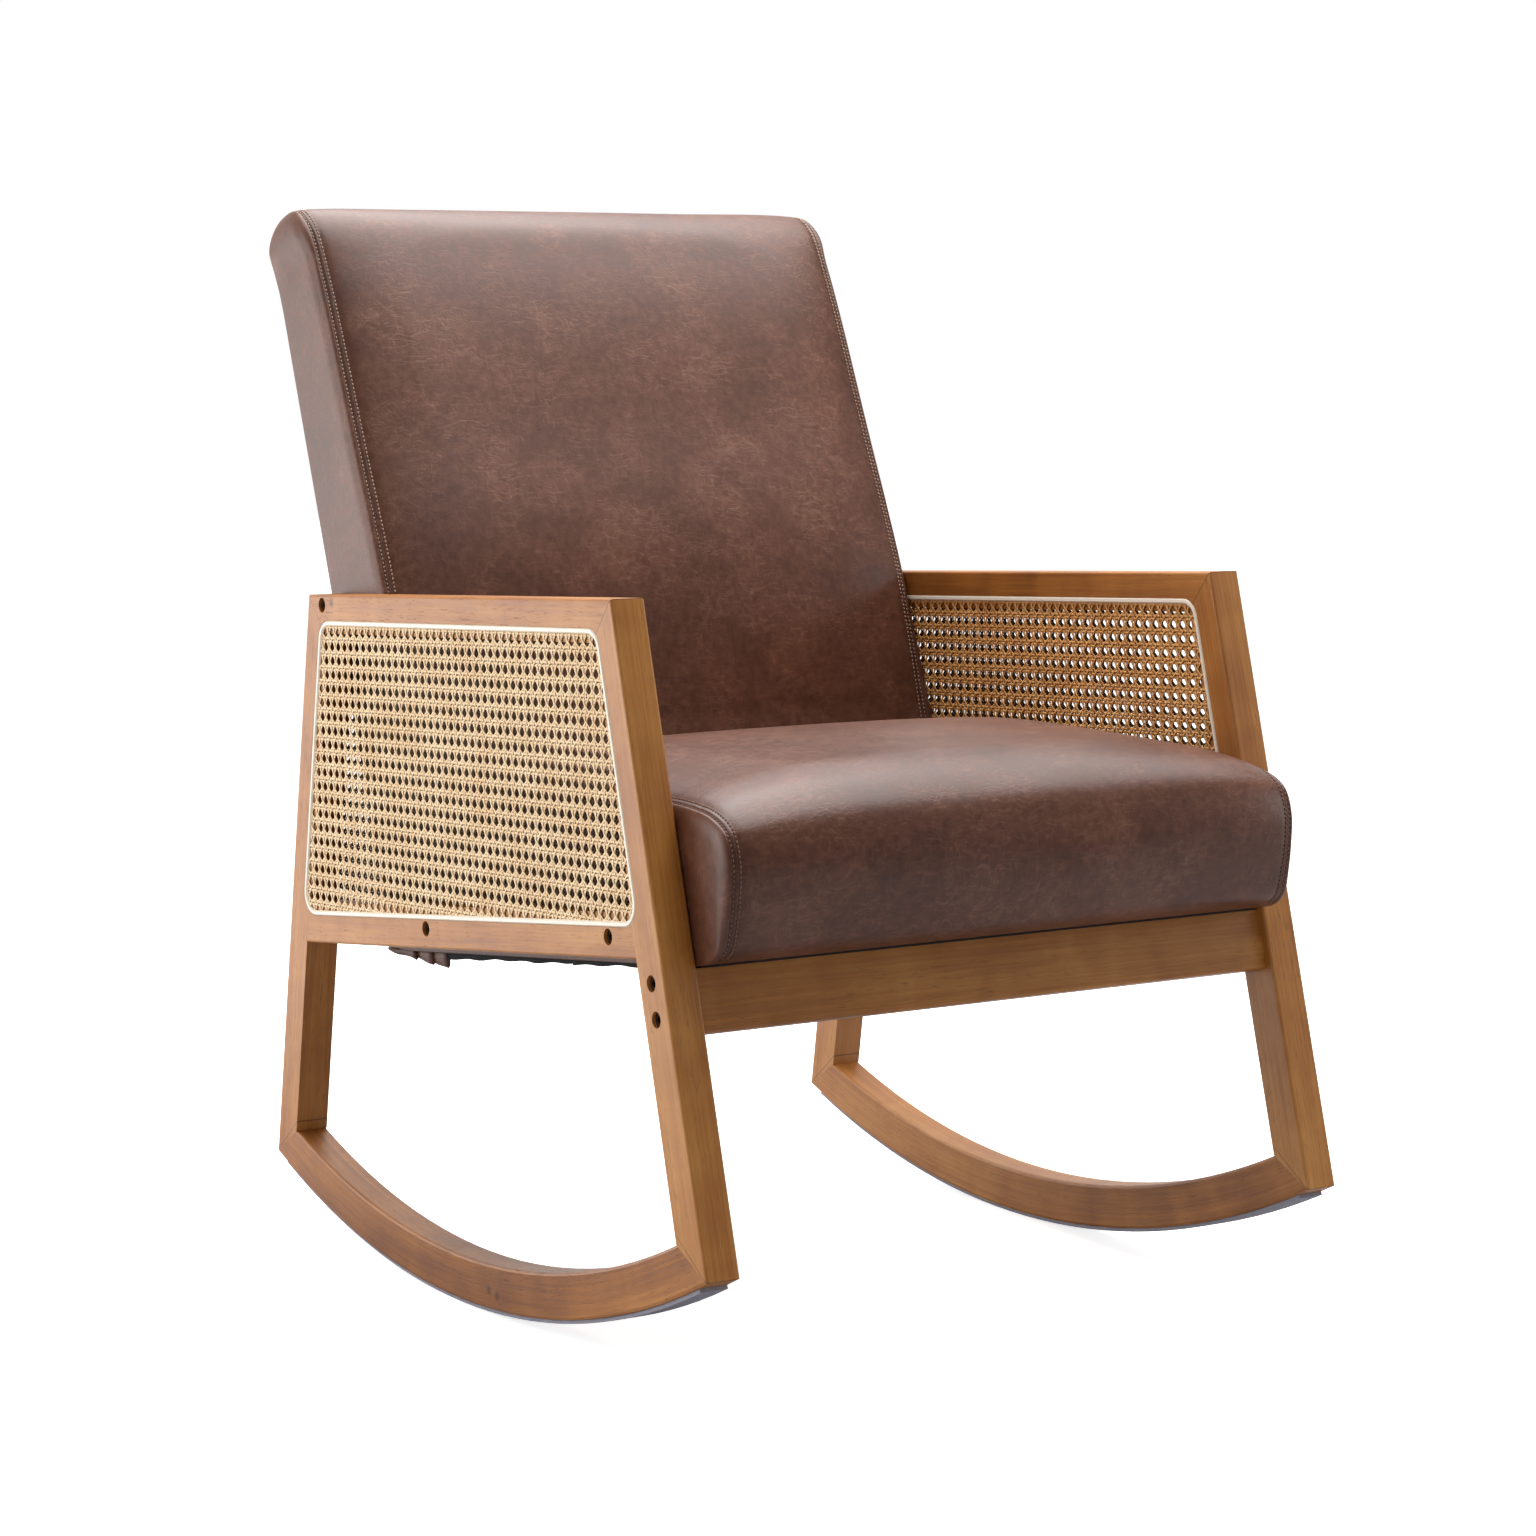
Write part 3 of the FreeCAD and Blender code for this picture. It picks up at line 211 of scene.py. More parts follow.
white = (1.0, 1.0, 1.0, 1.0)
towards_wall = (-0.3, 0.95, 0.0)
light_of_wall = 0.9
light_of_room = 0.24
sky = Wire(world.node_tree)
world.node_tree.nodes.clear()
to_wall = sky.spot("Generated").along(towards_wall).between(-0.35, 0.5)
glow = to_wall * (light_of_wall - light_of_room) + light_of_room
lit = sky.node("ShaderNodeBackground", {"Color": (1.0, 0.99, 0.98, 1.0), "Strength": glow})
seen = sky.node("ShaderNodeBackground", {"Color": white, "Strength": 1.0})
to_camera = sky.node("ShaderNodeLightPath", output="Is Camera Ray")
both = sky.node("ShaderNodeMixShader", {0: to_camera, 1: lit, 2: seen})
world_end = world.node_tree.nodes.new("ShaderNodeOutputWorld")
world.node_tree.links.new(both.socket, world_end.inputs["Surface"])


def finish(name, build):
    """A material whose Principled sockets come from a dictionary that build makes."""
    material = bpy.data.materials.new(name)
    material.use_nodes = True
    tree = material.node_tree
    shader = tree.nodes["Principled BSDF"]
    for key, value in build(Wire(tree)).items():
        if isinstance(value, Wire):
            tree.links.new(value.socket, shader.inputs[key])
        else:
            shader.inputs[key].default_value = value
    return material


def bumped(height, strength, distance):
    """A surface raised by a height, in shares of a distance in metres."""
    return height.node("ShaderNodeBump", {"Strength": strength, "Distance": distance, "Height": height})


def plain_floor(wire):
    """White to the camera. The light that it throws is grey in front and bright near the wall."""
    position = wire.spot()
    thrown = position.along(towards_wall).between(0.5, 1.8).mix((0.0, 0.0, 0.0, 1.0), (1.5, 1.5, 1.5, 1.0))
    to_camera = wire.node("ShaderNodeLightPath", output="Is Camera Ray")
    paint = position.noise(0.6).mix(srgb(250, 250, 250), srgb(254, 254, 254))
    return {
        "Base Color": to_camera.mix(srgb(176, 176, 180), paint),
        "Roughness": 0.8,
        "Emission Color": to_camera.mix(thrown, white),
        "Emission Strength": 0.72,
    }


floor_half = 14.0
floor_mesh = bpy.data.meshes.new("floor")
floor_corners = [(sx * floor_half, sy * floor_half, 0) for sx, sy in ((-1, -1), (1, -1), (1, 1), (-1, 1))]
floor_mesh.from_pydata(floor_corners, [], [(0, 1, 2, 3)])
floor = bpy.data.objects.new("floor", floor_mesh)
floor_mesh.materials.append(finish("plain_floor", plain_floor))
chair.objects.link(floor)


# The side frames
# Each is an arm, two splayed legs, a side rail and a bent rocker of rubberwood, mitred and joined by loose
# tenons. The stain is walnut under a satin lacquer. The grain runs along each member and round the rocker.

lean = math.radians(2.59)
arm_length = 0.555
arm_height = 0.605
leg_drop = 0.524
leg_splay = math.radians(12.4)
leg_width = 0.038
arm_width = 0.035
rail_slope = math.radians(3.54)
rail_height = 0.3044
rocker_radius = 0.9924

arm_low, arm_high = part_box("left_arm_rail")
rested = (
    Matrix.Translation((0.0, arm_low.y, arm_high.z))
    @ Matrix.Rotation(-lean, 4, "X")
    @ Matrix.Translation((0.0, arm_length / 2, -arm_height))
)

stain_dark = srgb(120, 68, 22)
stain_middle = srgb(168, 105, 40)
stain_light = srgb(198, 138, 66)
pore_stain = srgb(66, 36, 12)


def stained_wood(name, place, seed, joints=(), knots=(), paler=0.0):
    """Stained wood, its grain along Y of the coordinates that place gives, with glue lines and knots."""

    def build(wire):
        position = wire.spot()
        grain = place(position).mapped(Location=(seed * 0.37, seed * 1.7, seed * 0.53))
        boards = grain.stretched(9.0, 1.1, 9.0).noise(1.0, 2.0, 0.6)
        figure = grain.stretched(60.0, 3.2, 60.0).noise(1.0, 3.0, 1.2)
        blotches = grain.stretched(14.0, 21.0, 14.0).noise(1.0, 2.0, 0.5)
        fibres = grain.stretched(420.0, 9.0, 420.0).noise(1.0, 2.0)
        pores = grain.stretched(1150.0, 75.0, 1150.0).noise(1.0, 1.0).between(0.6, 0.72)
        flecks = grain.stretched(330.0, 20.0, 330.0).noise(1.0, 2.0, 0.4).between(0.58, 0.8)
        tone = boards * 0.4 + blotches * 0.2 + figure * 0.2 + fibres * 0.2 + paler
        colour = tone.ramp((0.32, stain_dark), (0.66, stain_light), (0.49, stain_middle))
        colour = (flecks * 0.25).mix(colour, stain_dark)
        colour = (pores * figure.between(0.3, 0.7) * 0.42).mix(colour, pore_stain)
        for point, normal in joints:
            line = 1.0 - abs(position.less(point).along(normal)).between(0.0002, 0.0007)
            colour = (line * 0.6).mix(colour, pore_stain)
        for knot in knots:
            reach = position.less(knot).length() + figure * 0.004
            colour = ((1.0 - reach.between(0.003, 0.008)) * 0.7).mix(colour, pore_stain)
        return {
            "Base Color": colour,
            "Roughness": 0.36 + fibres * 0.1 + pores * 0.2,
            "Normal": bumped(fibres * 0.5 - pores, 0.35, 0.0003),
            "Coat Weight": 0.15,
            "Coat Roughness": 0.34,
            "IOR": 1.5,
        }

    return finish(name, build)


def turned(*rotation):
    """Coordinates turned so that Y lies along a member."""
    return lambda position: position.mapped(Rotation=rotation)


def round_rocker(position):
    """Coordinates wound about the rocker's centre: Y is the way along its arc."""
    centre = rested @ Vector((0.0, 0.0, rocker_radius))
    offset = position.less(centre)
    across = offset.along((1.0, 0.0, 0.0))
    along = offset.along((0.0, 1.0, 0.0))
    height = offset.along((0.0, 0.0, 1.0))
    turn = along.math("ARCTAN2", along, -1.0 * height)
    reach = along.math("SQRT", along * along + height * height)
    return reach.node("ShaderNodeCombineXYZ", {"X": across, "Y": turn * rocker_radius, "Z": reach})


def mitre(outer, inner):
    """A joint's plane in the chair at rest, from its two ends in the frame drawn with level arms."""
    first = rested @ Vector((0.0, *outer))
    second = rested @ Vector((0.0, *inner))
    run = (second - first).normalized()
    return first, Vector((0.0, -run.z, run.y))


def leg_line(inset, height):
    """How far a line inside a leg's outer edge is from the frame's middle at a height."""
    return arm_length / 2 - inset / math.cos(leg_splay) + (arm_height - height) * math.tan(leg_splay)


foot_reach = arm_length / 2 + leg_drop * math.tan(leg_splay)
foot_height = arm_height - leg_drop
arm_under = arm_height - arm_width
heel_height = 0.1139
mitres = {}
for end, sign in (("front", -1.0), ("rear", 1.0)):
    upper = mitre((sign * arm_length / 2, arm_height), (sign * leg_line(leg_width, arm_under), arm_under))
    lower = mitre((sign * foot_reach, foot_height), (sign * leg_line(leg_width, heel_height), heel_height))
    mitres[end] = (upper, lower)
leg_rise = math.pi / 2 - leg_splay
members = {
    "arm_rail": (turned(lean, 0.0, 0.0), [mitres["front"][0], mitres["rear"][0]]),
    "front_leg": (turned(lean - leg_rise, 0.0, 0.0), list(mitres["front"])),
    "rear_leg": (turned(lean + leg_rise - math.pi, 0.0, 0.0), list(mitres["rear"])),
    "side_rail": (turned(lean + rail_slope, 0.0, 0.0), []),
    "rocker": (round_rocker, [mitres["front"][1], mitres["rear"][1]]),
}
knots_at = {
    "left_arm_rail": [(-0.313, 0.2466, 0.5895), (-0.313, 0.2300, 0.5912)],
    "left_rocker": [(-0.313, -0.0700, 0.0205), (-0.313, -0.0560, 0.0225)],
}
paler_member = {"right_front_leg": 0.06, "front_rail": 0.02, "right_arm_rail": -0.03}


def dress(name, material):
    """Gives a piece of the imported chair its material."""
    mesh = nodes[name].data
    mesh.materials.clear()
    mesh.materials.append(material)


for side_number, side in enumerate(("left", "right")):
    for number, (member, (place, joints)) in enumerate(members.items()):
        seed = 1.0 + number + 7.0 * side_number
        name = f"{side}_{member}"
        paler = paler_member.get(name, 0.0)
        dress(name, stained_wood(f"{name}_wood", place, seed, joints, knots_at.get(name, ()), paler))
across_chair = turned(0.0, 0.0, math.pi / 2)
dress("front_rail", stained_wood("front_rail_wood", across_chair, 20.0, paler=paler_member["front_rail"]))


# The hidden wood
# Sawn pine, bare of any finish: the loose tenons that are glued into the side frames, and the frames and
# corner blocks that the leather of the seat and the back is stapled to.


def two_tones(texture, first, second, roughness, strength, distance):
    """A finish between two tones that mix by a texture, which also raises the surface."""

    def build(wire):
        share = texture(wire.spot())
        raised = bumped(share, strength, distance)
        return {"Base Color": share.mix(first, second), "Roughness": roughness, "Normal": raised}

    return build


def growth_rings(position):
    return position.stretched(60.0, 3.0, 60.0).noise(1.0, 3.0, 0.8)


pine_tones = two_tones(growth_rings, srgb(222, 188, 140), srgb(190, 148, 98), 0.75, 0.3, 0.0004)
pine = finish("bare_pine", pine_tones)
for name in nodes:
    if "bolts" not in name and any(word in name for word in ("tenons", "frame", "blocks")):
        dress(name, pine)


# The cane panels
# Split cane woven in the six-way pattern: pairs up and down, pairs across, and two diagonals that lock them.
# One sheet lies in a rebate on each face of a side frame, held by a spline pressed into a groove round it.

weave_pitch = 0.0127
pair_offset = 0.00140
strand_half = 0.00122
diagonal_half = 0.00112
strand_thickness = 0.00045
pair_wave = 0.00024
diagonal_wave = 0.00052
tile_reach = 0.6
weld_distance = 0.00002
sheet_overlap = 0.001
groove_width = 0.005
arm_margin = 0.023
leg_margin = 0.0265
rail_margin = 0.025
groove_corner = 0.020


def band(mesh, rings):
    """Joins each ring of corners to the next by flat faces."""
    for first, second in zip(rings, rings[1:]):
        for number in range(len(first)):
            after = (number + 1) % len(first)
            mesh.faces.new((first[number], first[after], second[after], second[number]))


def mesh_of(shape, name):
    """The mesh of a shape that was built face by face."""
    mesh = bpy.data.meshes.new(name)
    shape.to_mesh(mesh)
    shape.free()
    return mesh


def strand(mesh, points, half, side):
    """A flat strip of cane along some points, with a low ridge, open where the next tile goes on."""
    rows = ((-half, 0.0), (0.0, strand_thickness / 2), (half, 0.0), (0.0, -strand_thickness / 2))
    rings = []
    for along, up, height in points:
        corners = [(along + side[0] * out, up + side[1] * out, height + rise) for out, rise in rows]
        rings.append([mesh.verts.new(corner) for corner in corners])
    band(mesh, rings)


def weave_tile():
    """One repeat of the weave, centred on its large hole."""
    mesh = bmesh.new()
    edge = weave_pitch / 2
    inner = edge - pair_offset
    for sign in (-1.0, 1.0):
        waves = [(-edge, 0.0), (-inner, -pair_wave), (0.0, 0.0), (inner, pair_wave), (edge, 0.0)]
        upright = [(sign * inner, along, sign * wave) for along, wave in waves]
        strand(mesh, upright, strand_half, (1.0, 0.0))
        level = [(along, sign * inner, -sign * wave) for along, wave in waves]
        strand(mesh, level, strand_half, (0.0, -1.0))
    slant = math.sqrt(0.5)
    for first in (-1.0, 1.0):
        for second in (-1.0, 1.0):
            height = diagonal_wave * first * second
            half_way = (first * edge / 2, second * edge / 2, 0.0)
            line = [(first * edge, 0.0, height), half_way, (0.0, second * edge, -height)]
            strand(mesh, line, diagonal_half, (slant * second, slant * first))
    return bpy.data.objects.new("weave_tile", mesh_of(mesh, "weave_tile"))


def new_tool(name, inputs):
    """An empty node tree for a mesh, with a geometry in and out, and the wires of its named inputs."""
    tree = bpy.data.node_groups.new(name, "GeometryNodeTree")
    tree.interface.new_socket("Geometry", in_out="OUTPUT", socket_type="NodeSocketGeometry")
    tree.interface.new_socket("Geometry", in_out="INPUT", socket_type="NodeSocketGeometry")
    for label, kind in inputs.items():
        tree.interface.new_socket(label, in_out="INPUT", socket_type=kind)
    entry = tree.nodes.new("NodeGroupInput")
    wires = {item.name: Wire(tree, item) for item in entry.outputs if item.name}
    return tree, wires


def copies_on(points, original, **turn):
    """A real copy of an object on every point."""
    sockets = {"Object": original}
    shape = points.node("GeometryNodeObjectInfo", sockets, "Geometry", transform_space="ORIGINAL")
    laid = points.node("GeometryNodeInstanceOnPoints", {"Points": points, "Instance": shape, **turn})
    return points.node("GeometryNodeRealizeInstances", {"Geometry": laid})


def close_tool(tree, shape, material):
    """Ends a tree with a shape that is made smooth and gets its material."""
    smooth = shape.node("GeometryNodeSetShadeSmooth", {"Geometry": shape})
    result = shape.node("GeometryNodeSetMaterial", {"Geometry": smooth, "Material": material})
    tree.links.new(result.socket, tree.nodes.new("NodeGroupOutput").inputs[0])
    return tree


def made_by(tree, carrier, values):
    """The plain mesh that a tree makes from a carrier object."""
    chair.objects.link(carrier)
    modifier = carrier.modifiers.new("tool", "NODES")
    modifier.node_group = tree
    for item in tree.interface.items_tree:
        if item.in_out == "INPUT" and item.name in values:
            modifier[item.identifier] = values[item.name]
    graph = bpy.context.evaluated_depsgraph_get()
    mesh = bpy.data.meshes.new_from_object(carrier.evaluated_get(graph))
    carrier.modifiers.remove(modifier)
    chair.objects.unlink(carrier)
    return mesh


def weaving_tool():
    """Lays a tile on every point of a grid that is not far outside the sloping sides of the panel."""
    kinds = {
        "Tile": "NodeSocketObject",
        "Pitch": "NodeSocketFloat",
        "Columns": "NodeSocketInt",
        "Rows": "NodeSocketInt",
        "Half width at middle": "NodeSocketFloat",
        "Side slope": "NodeSocketFloat",
        "Cane": "NodeSocketMaterial",
    }
    tree, wires = new_tool("weaving", kinds)
    pitch = wires["Pitch"]
    grid_sockets = {
        "Size X": pitch * (wires["Columns"] - 1),
        "Size Y": pitch * (wires["Rows"] - 1),
        "Vertices X": wires["Columns"],
        "Vertices Y": wires["Rows"],
    }
    grid = pitch.node("GeometryNodeMeshGrid", grid_sockets, "Mesh")
    place = pitch.node("GeometryNodeInputPosition")
    along = pitch.node("ShaderNodeSeparateXYZ", {0: place}, "X")
    height = pitch.node("ShaderNodeSeparateXYZ", {0: place}, "Y")
    limit = wires["Half width at middle"] - height * wires["Side slope"] + pitch * tile_reach
    outside = along.math("GREATER_THAN", abs(along), limit)
    kept = pitch.node("GeometryNodeDeleteGeometry", {"Geometry": grid, "Selection": outside}, domain="POINT")
    whole = copies_on(kept, wires["Tile"])
    welded = pitch.node("GeometryNodeMergeByDistance", {"Geometry": whole, "Distance": weld_distance})
    return close_tool(tree, welded, wires["Cane"])


def split_cane(pale, deep):
    """Glossy cane between two tones, with darker growth marks here and there."""

    def build(wire):
        position = wire.spot()
        patches = position.noise(28.0, 2.0)
        streaks = position.stretched(900.0, 260.0, 260.0).noise(1.0, 2.0)
        marks = position.noise(170.0, 1.0).between(0.68, 0.78)
        colour = (patches * 0.6 + streaks * 0.4).between(0.3, 0.72).mix(pale, deep)
        colour = (marks * 0.3).mix(colour, cane_mark)
        raised = bumped(streaks, 0.25, 0.0001)
        return {"Base Color": colour, "Roughness": 0.46 + streaks * 0.1, "Normal": raised}

    return build


cane_mark = srgb(150, 100, 56)
outside_cane = finish("outside_cane", split_cane(srgb(252, 222, 178), srgb(238, 198, 148)))
# Painted shade: the inner sheets get a deeper copy of the same cane, for the shade that falls on them inside
# the chair.
inside_cane = finish("inside_cane", split_cane(srgb(230, 170, 100), srgb(192, 132, 70)))
# Painted shade: a dark copy of the cane for the faces inside the frame, where shade falls between the
# sheets.
cane_heart = finish("cane_heart", split_cane(srgb(118, 86, 46), srgb(90, 62, 32)))
panel_top = arm_height - arm_margin - groove_width + sheet_overlap
columns = 50
rows = 22
hole_row = 0.5709
hole_column = -0.2747
columns_before = 3
across_grid = ((columns - 1) / 2 - columns_before) * weave_pitch
grid_middle = (hole_column + across_grid, hole_row - (rows - 1) / 2 * weave_pitch)
side_inset = leg_margin + groove_width - sheet_overlap
rail_rise = (rail_margin + groove_width - sheet_overlap) / math.cos(rail_slope)
sheet_values = {
    "Tile": weave_tile(),
    "Pitch": weave_pitch,
    "Columns": columns,
    "Rows": rows,
    "Half width at middle": leg_line(side_inset, grid_middle[1]),
    "Side slope": math.tan(leg_splay),
    "Cane": outside_cane,
}
bare_sheet = bpy.data.objects.new("sheet", bpy.data.meshes.new("sheet"))
woven_mesh = made_by(weaving_tool(), bare_sheet, sheet_values)


def panel_edges():
    """The straight sides of the cane's outline, drawn with level arms, as points and outward normals."""
    out = Vector((math.cos(leg_splay), math.sin(leg_splay)))
    fall = Vector((-math.sin(rail_slope), -math.cos(rail_slope)))
    sides = [(Vector((0.0, panel_top)), Vector((0.0, 1.0)))]
    side_point = Vector((leg_line(side_inset, panel_top), panel_top))
    sides.append((side_point, out))
    sides.append((Vector((-side_point.x, side_point.y)), Vector((-out.x, out.y))))
    sides.append((Vector((0.0, rail_height + rail_rise)), fall))
    return sides


def crossing(first, second):
    """Where two sides meet."""
    (p, n), (q, m) = first, second
    spread = n.x * m.y - n.y * m.x
    a, b = p.dot(n), q.dot(m)
    return Vector(((a * m.y - b * n.y) / spread, (b * n.x - a * m.x) / spread))


def trimmed_sheet(shift):
    """The weave moved along by a shift and cut to the panel's round-cornered outline, with closed ends."""
    mesh = woven_mesh.copy()
    sheet = bmesh.new()
    sheet.from_mesh(mesh)
    bmesh.ops.translate(sheet, vec=(grid_middle[0] + shift, grid_middle[1], 0.0), verts=sheet.verts)
    sides = panel_edges()
    radius = groove_corner - groove_width + sheet_overlap
    cuts = list(sides)
    for first, second in ((0, 1), (0, 2), (3, 1), (3, 2)):
        corner = crossing(sides[first], sides[second])
        half = (sides[first][1] + sides[second][1]).normalized()
        spread = sides[first][1].dot(half)
        centre = corner - half * (radius / spread)
        for share in (0.25, 0.5, 0.75):
            normal = (sides[first][1] * (1 - share) + sides[second][1] * share).normalized()
            cuts.append((centre + normal * radius, normal))
    for point, normal in cuts:
        geometry = sheet.verts[:] + sheet.edges[:] + sheet.faces[:]
        plane = {"plane_co": (*point, 0.0), "plane_no": (*normal, 0.0)}
        bmesh.ops.bisect_plane(sheet, geom=geometry, dist=1e-6, clear_outer=True, **plane)
    open_edges = [edge for edge in sheet.edges if edge.is_boundary]
    for cap in bmesh.ops.holes_fill(sheet, edges=open_edges, sides=0)["faces"]:
        corner = cap.loops[0]
        if corner.link_loop_radial_next.vert == corner.vert:
            cap.normal_flip()
    sheet.to_mesh(mesh)
    sheet.free()
    return mesh


far_shift = -0.0030
even_sheet = trimmed_sheet(0.0)
shifted_sheet = trimmed_sheet(far_shift)


def add_piece(name, mesh, slot, *replaced):
    """A piece of the chair, on its one body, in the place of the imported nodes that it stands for."""
    piece = bpy.data.objects.new(name, mesh)
    chair.objects.link(piece)
    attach(piece, "root")
    if replaced:
        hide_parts(*replaced)
    return piece


# Faces that look into the frame, away from the side that a sheet shows, get a darker cane: painted shade for
# the space between the two sheets.
turned_away = 0.3
for side in ("left", "right"):
    for layer, cane in (("outer", outside_cane), ("inner", inside_cane)):
        low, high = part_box(f"{side}_{layer}_cane")
        depth = (low.x + high.x) / 2
        mesh = (shifted_sheet if (side, layer) == ("right", "outer") else even_sheet).copy()
        mesh.materials.clear()
        for material in (cane, cane_heart):
            mesh.materials.append(material)
        upright = Matrix(((0, 0, 1, depth), (1, 0, 0, 0), (0, 1, 0, 0), (0, 0, 0, 1)))
        mesh.transform(rested @ upright)
        shown = (1.0 if side == "right" else -1.0) * (1.0 if layer == "outer" else -1.0)
        normals = np.zeros(len(mesh.polygons) * 3, np.float32)
        mesh.polygons.foreach_get("normal", normals)
        hidden = (normals.reshape(-1, 3)[:, 0] * shown < -turned_away).astype(np.int32)
        mesh.polygons.foreach_set("material_index", hidden)
        add_piece(f"{side}_{layer}_woven_cane", mesh, "cane", f"{side}_{layer}_cane")


# The splines
# A strip of smooth off-white plastic, pressed with glue into the groove round each sheet of cane. Its
# sloping edges are painted darker than its flat top, as painted shade.


def smooth_plastic(wire):
    scuffs = wire.spot().noise(120.0, 3.0)
    # Painted shade: the faces that slope away from the flat top get a darker, browner tone.
    flat_top = abs(wire.spot("Normal").along((1.0, 0.0, 0.0))).between(0.8, 0.98)
    colour = flat_top.mix(srgb(232, 218, 196), scuffs.mix(srgb(250, 243, 230), srgb(238, 229, 212)))
    return {"Base Color": colour, "Roughness": 0.34 + scuffs * 0.1, "Normal": bumped(scuffs, 0.1, 0.0002)}


plastic = finish("smooth_plastic", smooth_plastic)
for name in nodes:
    if name.endswith("_spline"):
        dress(name, plastic)


# The felt under the rockers
# A strip of grey pressed felt, glued along the running face of each rocker, so that the chair rocks quietly
# and marks no floor.


def pressed_felt(wire):
    position = wire.spot()
    fibres = position.noise(900.0, 4.0, 2.0)
    clumps = position.noise(160.0, 2.0)
    colour = (fibres * 0.6 + clumps * 0.4).mix(srgb(120, 118, 128), srgb(178, 176, 188))
    return {"Base Color": colour, "Roughness": 0.95, "Normal": bumped(fibres, 0.8, 0.0005)}


felt = finish("pressed_felt", pressed_felt)
for name in ("left_felt_strip", "right_felt_strip"):
    dress(name, felt)


# The fastenings
# Socket head bolts of blackened steel in round recesses, plain steel inserts that they screw into, and the
# upright bolts that hold the back on the seat's frame.


def steel(dark, light, rough):
    """Steel between two tones, with wear that changes its gloss."""

    def build(wire):
        wear = wire.spot().noise(300.0, 3.0)
        return {
            "Base Color": wear.mix(dark, light),
            "Metallic": 1.0,
            "Roughness": rough + wear * 0.15,
            "Normal": bumped(wear, 0.15, 0.0001),
        }

    return build


black_steel = finish("blackened_steel", steel(srgb(38, 28, 24), srgb(70, 56, 48), 0.4))
plain_steel = finish("plain_steel", steel(srgb(150, 150, 152), srgb(190, 190, 190), 0.35))
dress("side_frame_bolts", black_steel)
dress("back_bolts", black_steel)
dress("threaded_inserts", plain_steel)


# The webbing and the foam
# Elastic straps are stretched over the frames and stapled, and cut foam blocks lie on them. The two leather
# cushions of the next sections stand for the foam.


def fine_grain(scale):
    """The ribs of a strap, the fibres of a cloth or the twist of a thread."""
    return lambda position: position.noise(scale, 2.0)


strap_tones = two_tones(fine_grain(300.0), srgb(60, 58, 56), srgb(96, 92, 88), 0.85, 0.5, 0.0004)
strap_cloth = finish("woven_strap", strap_tones)
dress("seat_webbing_straps", strap_cloth)
dress("back_webbing_straps", strap_cloth)


# The seat cushion
# One piece of leather runs from the front rail over the rounded front and back to the foot of the back. It
# is sewn to boxed side pieces, with a row of topstitching beside each seam, over a crowned block of foam.

seat_underside = rail_height - 0.007
seat_place = rested @ Matrix.Translation((0.0, 0.0, seat_underside)) @ Matrix.Rotation(-rail_slope, 4, "X")
cushion_half = 0.2814
seam_inset = 0.007
drawn_in = 0.014
seat_crown = 0.025
seat_bulge = 0.009
seat_ledge = 0.0496
seat_rear = 0.2053
# Along and up at the seam, then shares of the bulge and the crown in the middle, and of the boxing's draw.
seat_path = np.array(
    [
        (-0.3510, 0.0000, 0.00, 0.00, 0.0, 0.0),
        (-0.3745, 0.0101, 0.15, 0.00, 0.3, 0.0),
        (-0.3852, 0.0330, 0.40, 0.00, 0.7, 0.0),
        (-0.3914, 0.0552, 0.75, 0.00, 1.0, 0.0),
        (-0.3944, 0.0808, 1.00, 0.12, 1.0, -0.1),
        (-0.3881, 0.1026, 1.00, 0.45, 0.9, -0.5),
        (-0.3710, 0.1150, 0.75, 0.80, 0.6, -0.8),
        (-0.3390, 0.1238, 0.30, 1.00, 0.2, -1.0),
        (-0.3020, 0.1292, 0.00, 1.00, 0.0, -1.0),
        (-0.0830, 0.1560, 0.00, 0.75, 0.0, -1.0),
        (0.1360, 0.1680, 0.00, 0.00, 0.0, -1.0),
    ]
)
seat_hidden = np.array([(0.110, seat_ledge), (seat_rear, seat_ledge), (seat_rear, 0.0)])
topstitch_inset = 0.0050
edge_columns = [0.0, 0.0013, 0.0030, topstitch_inset, 0.0085, 0.0140, 0.0210]
topstitch_column = edge_columns.index(topstitch_inset)
column_spacing = 0.0085
hidden_spacing = 0.045
# Shares of the quarter turn round a seam, then of the boxing's size on the way to its middle line.
boxing_turns = (0.1, 0.26, 0.45, 0.64, 0.82, 1.0)
boxing_shares = (0.93, 0.82, 0.66, 0.45, 0.25, 0.1)
# How the crown falls from the middle of the panel to its seams: a soft and a steep part, with their powers.
soft_fall, soft_power = 0.45, 2.6
steep_fall, steep_power = 0.55, 11


def smooth_path(keys, spacings):
    """A smooth curve through the keys, with each span divided by its own spacing."""
    dense = []
    for number in range(len(keys) - 1):
        before = keys[max(number - 1, 0)]
        first, second = keys[number], keys[number + 1]
        after = keys[min(number + 2, len(keys) - 1)]
        length = np.linalg.norm((second - first)[:2])
        lead = np.linalg.norm((first - before)[:2]) or length
        trail = np.linalg.norm((after - second)[:2]) or length
        start = stop = second - first
        if number > 0:
            start = ((first - before) / lead + (second - first) / length) / 2 * length
        if number < len(keys) - 2:
            stop = ((second - first) / length + (after - second) / trail) / 2 * length
        steps = max(2, round(length / spacings[number]))
        for step in range(steps):
            t = step / steps
            h1, h2 = 2 * t**3 - 3 * t**2 + 1, t**3 - 2 * t**2 + t
            h3, h4 = -2 * t**3 + 3 * t**2, t**3 - t**2
            dense.append(h1 * first + h2 * start + h3 * second + h4 * stop)
    dense.append(keys[-1])
    return np.array(dense)


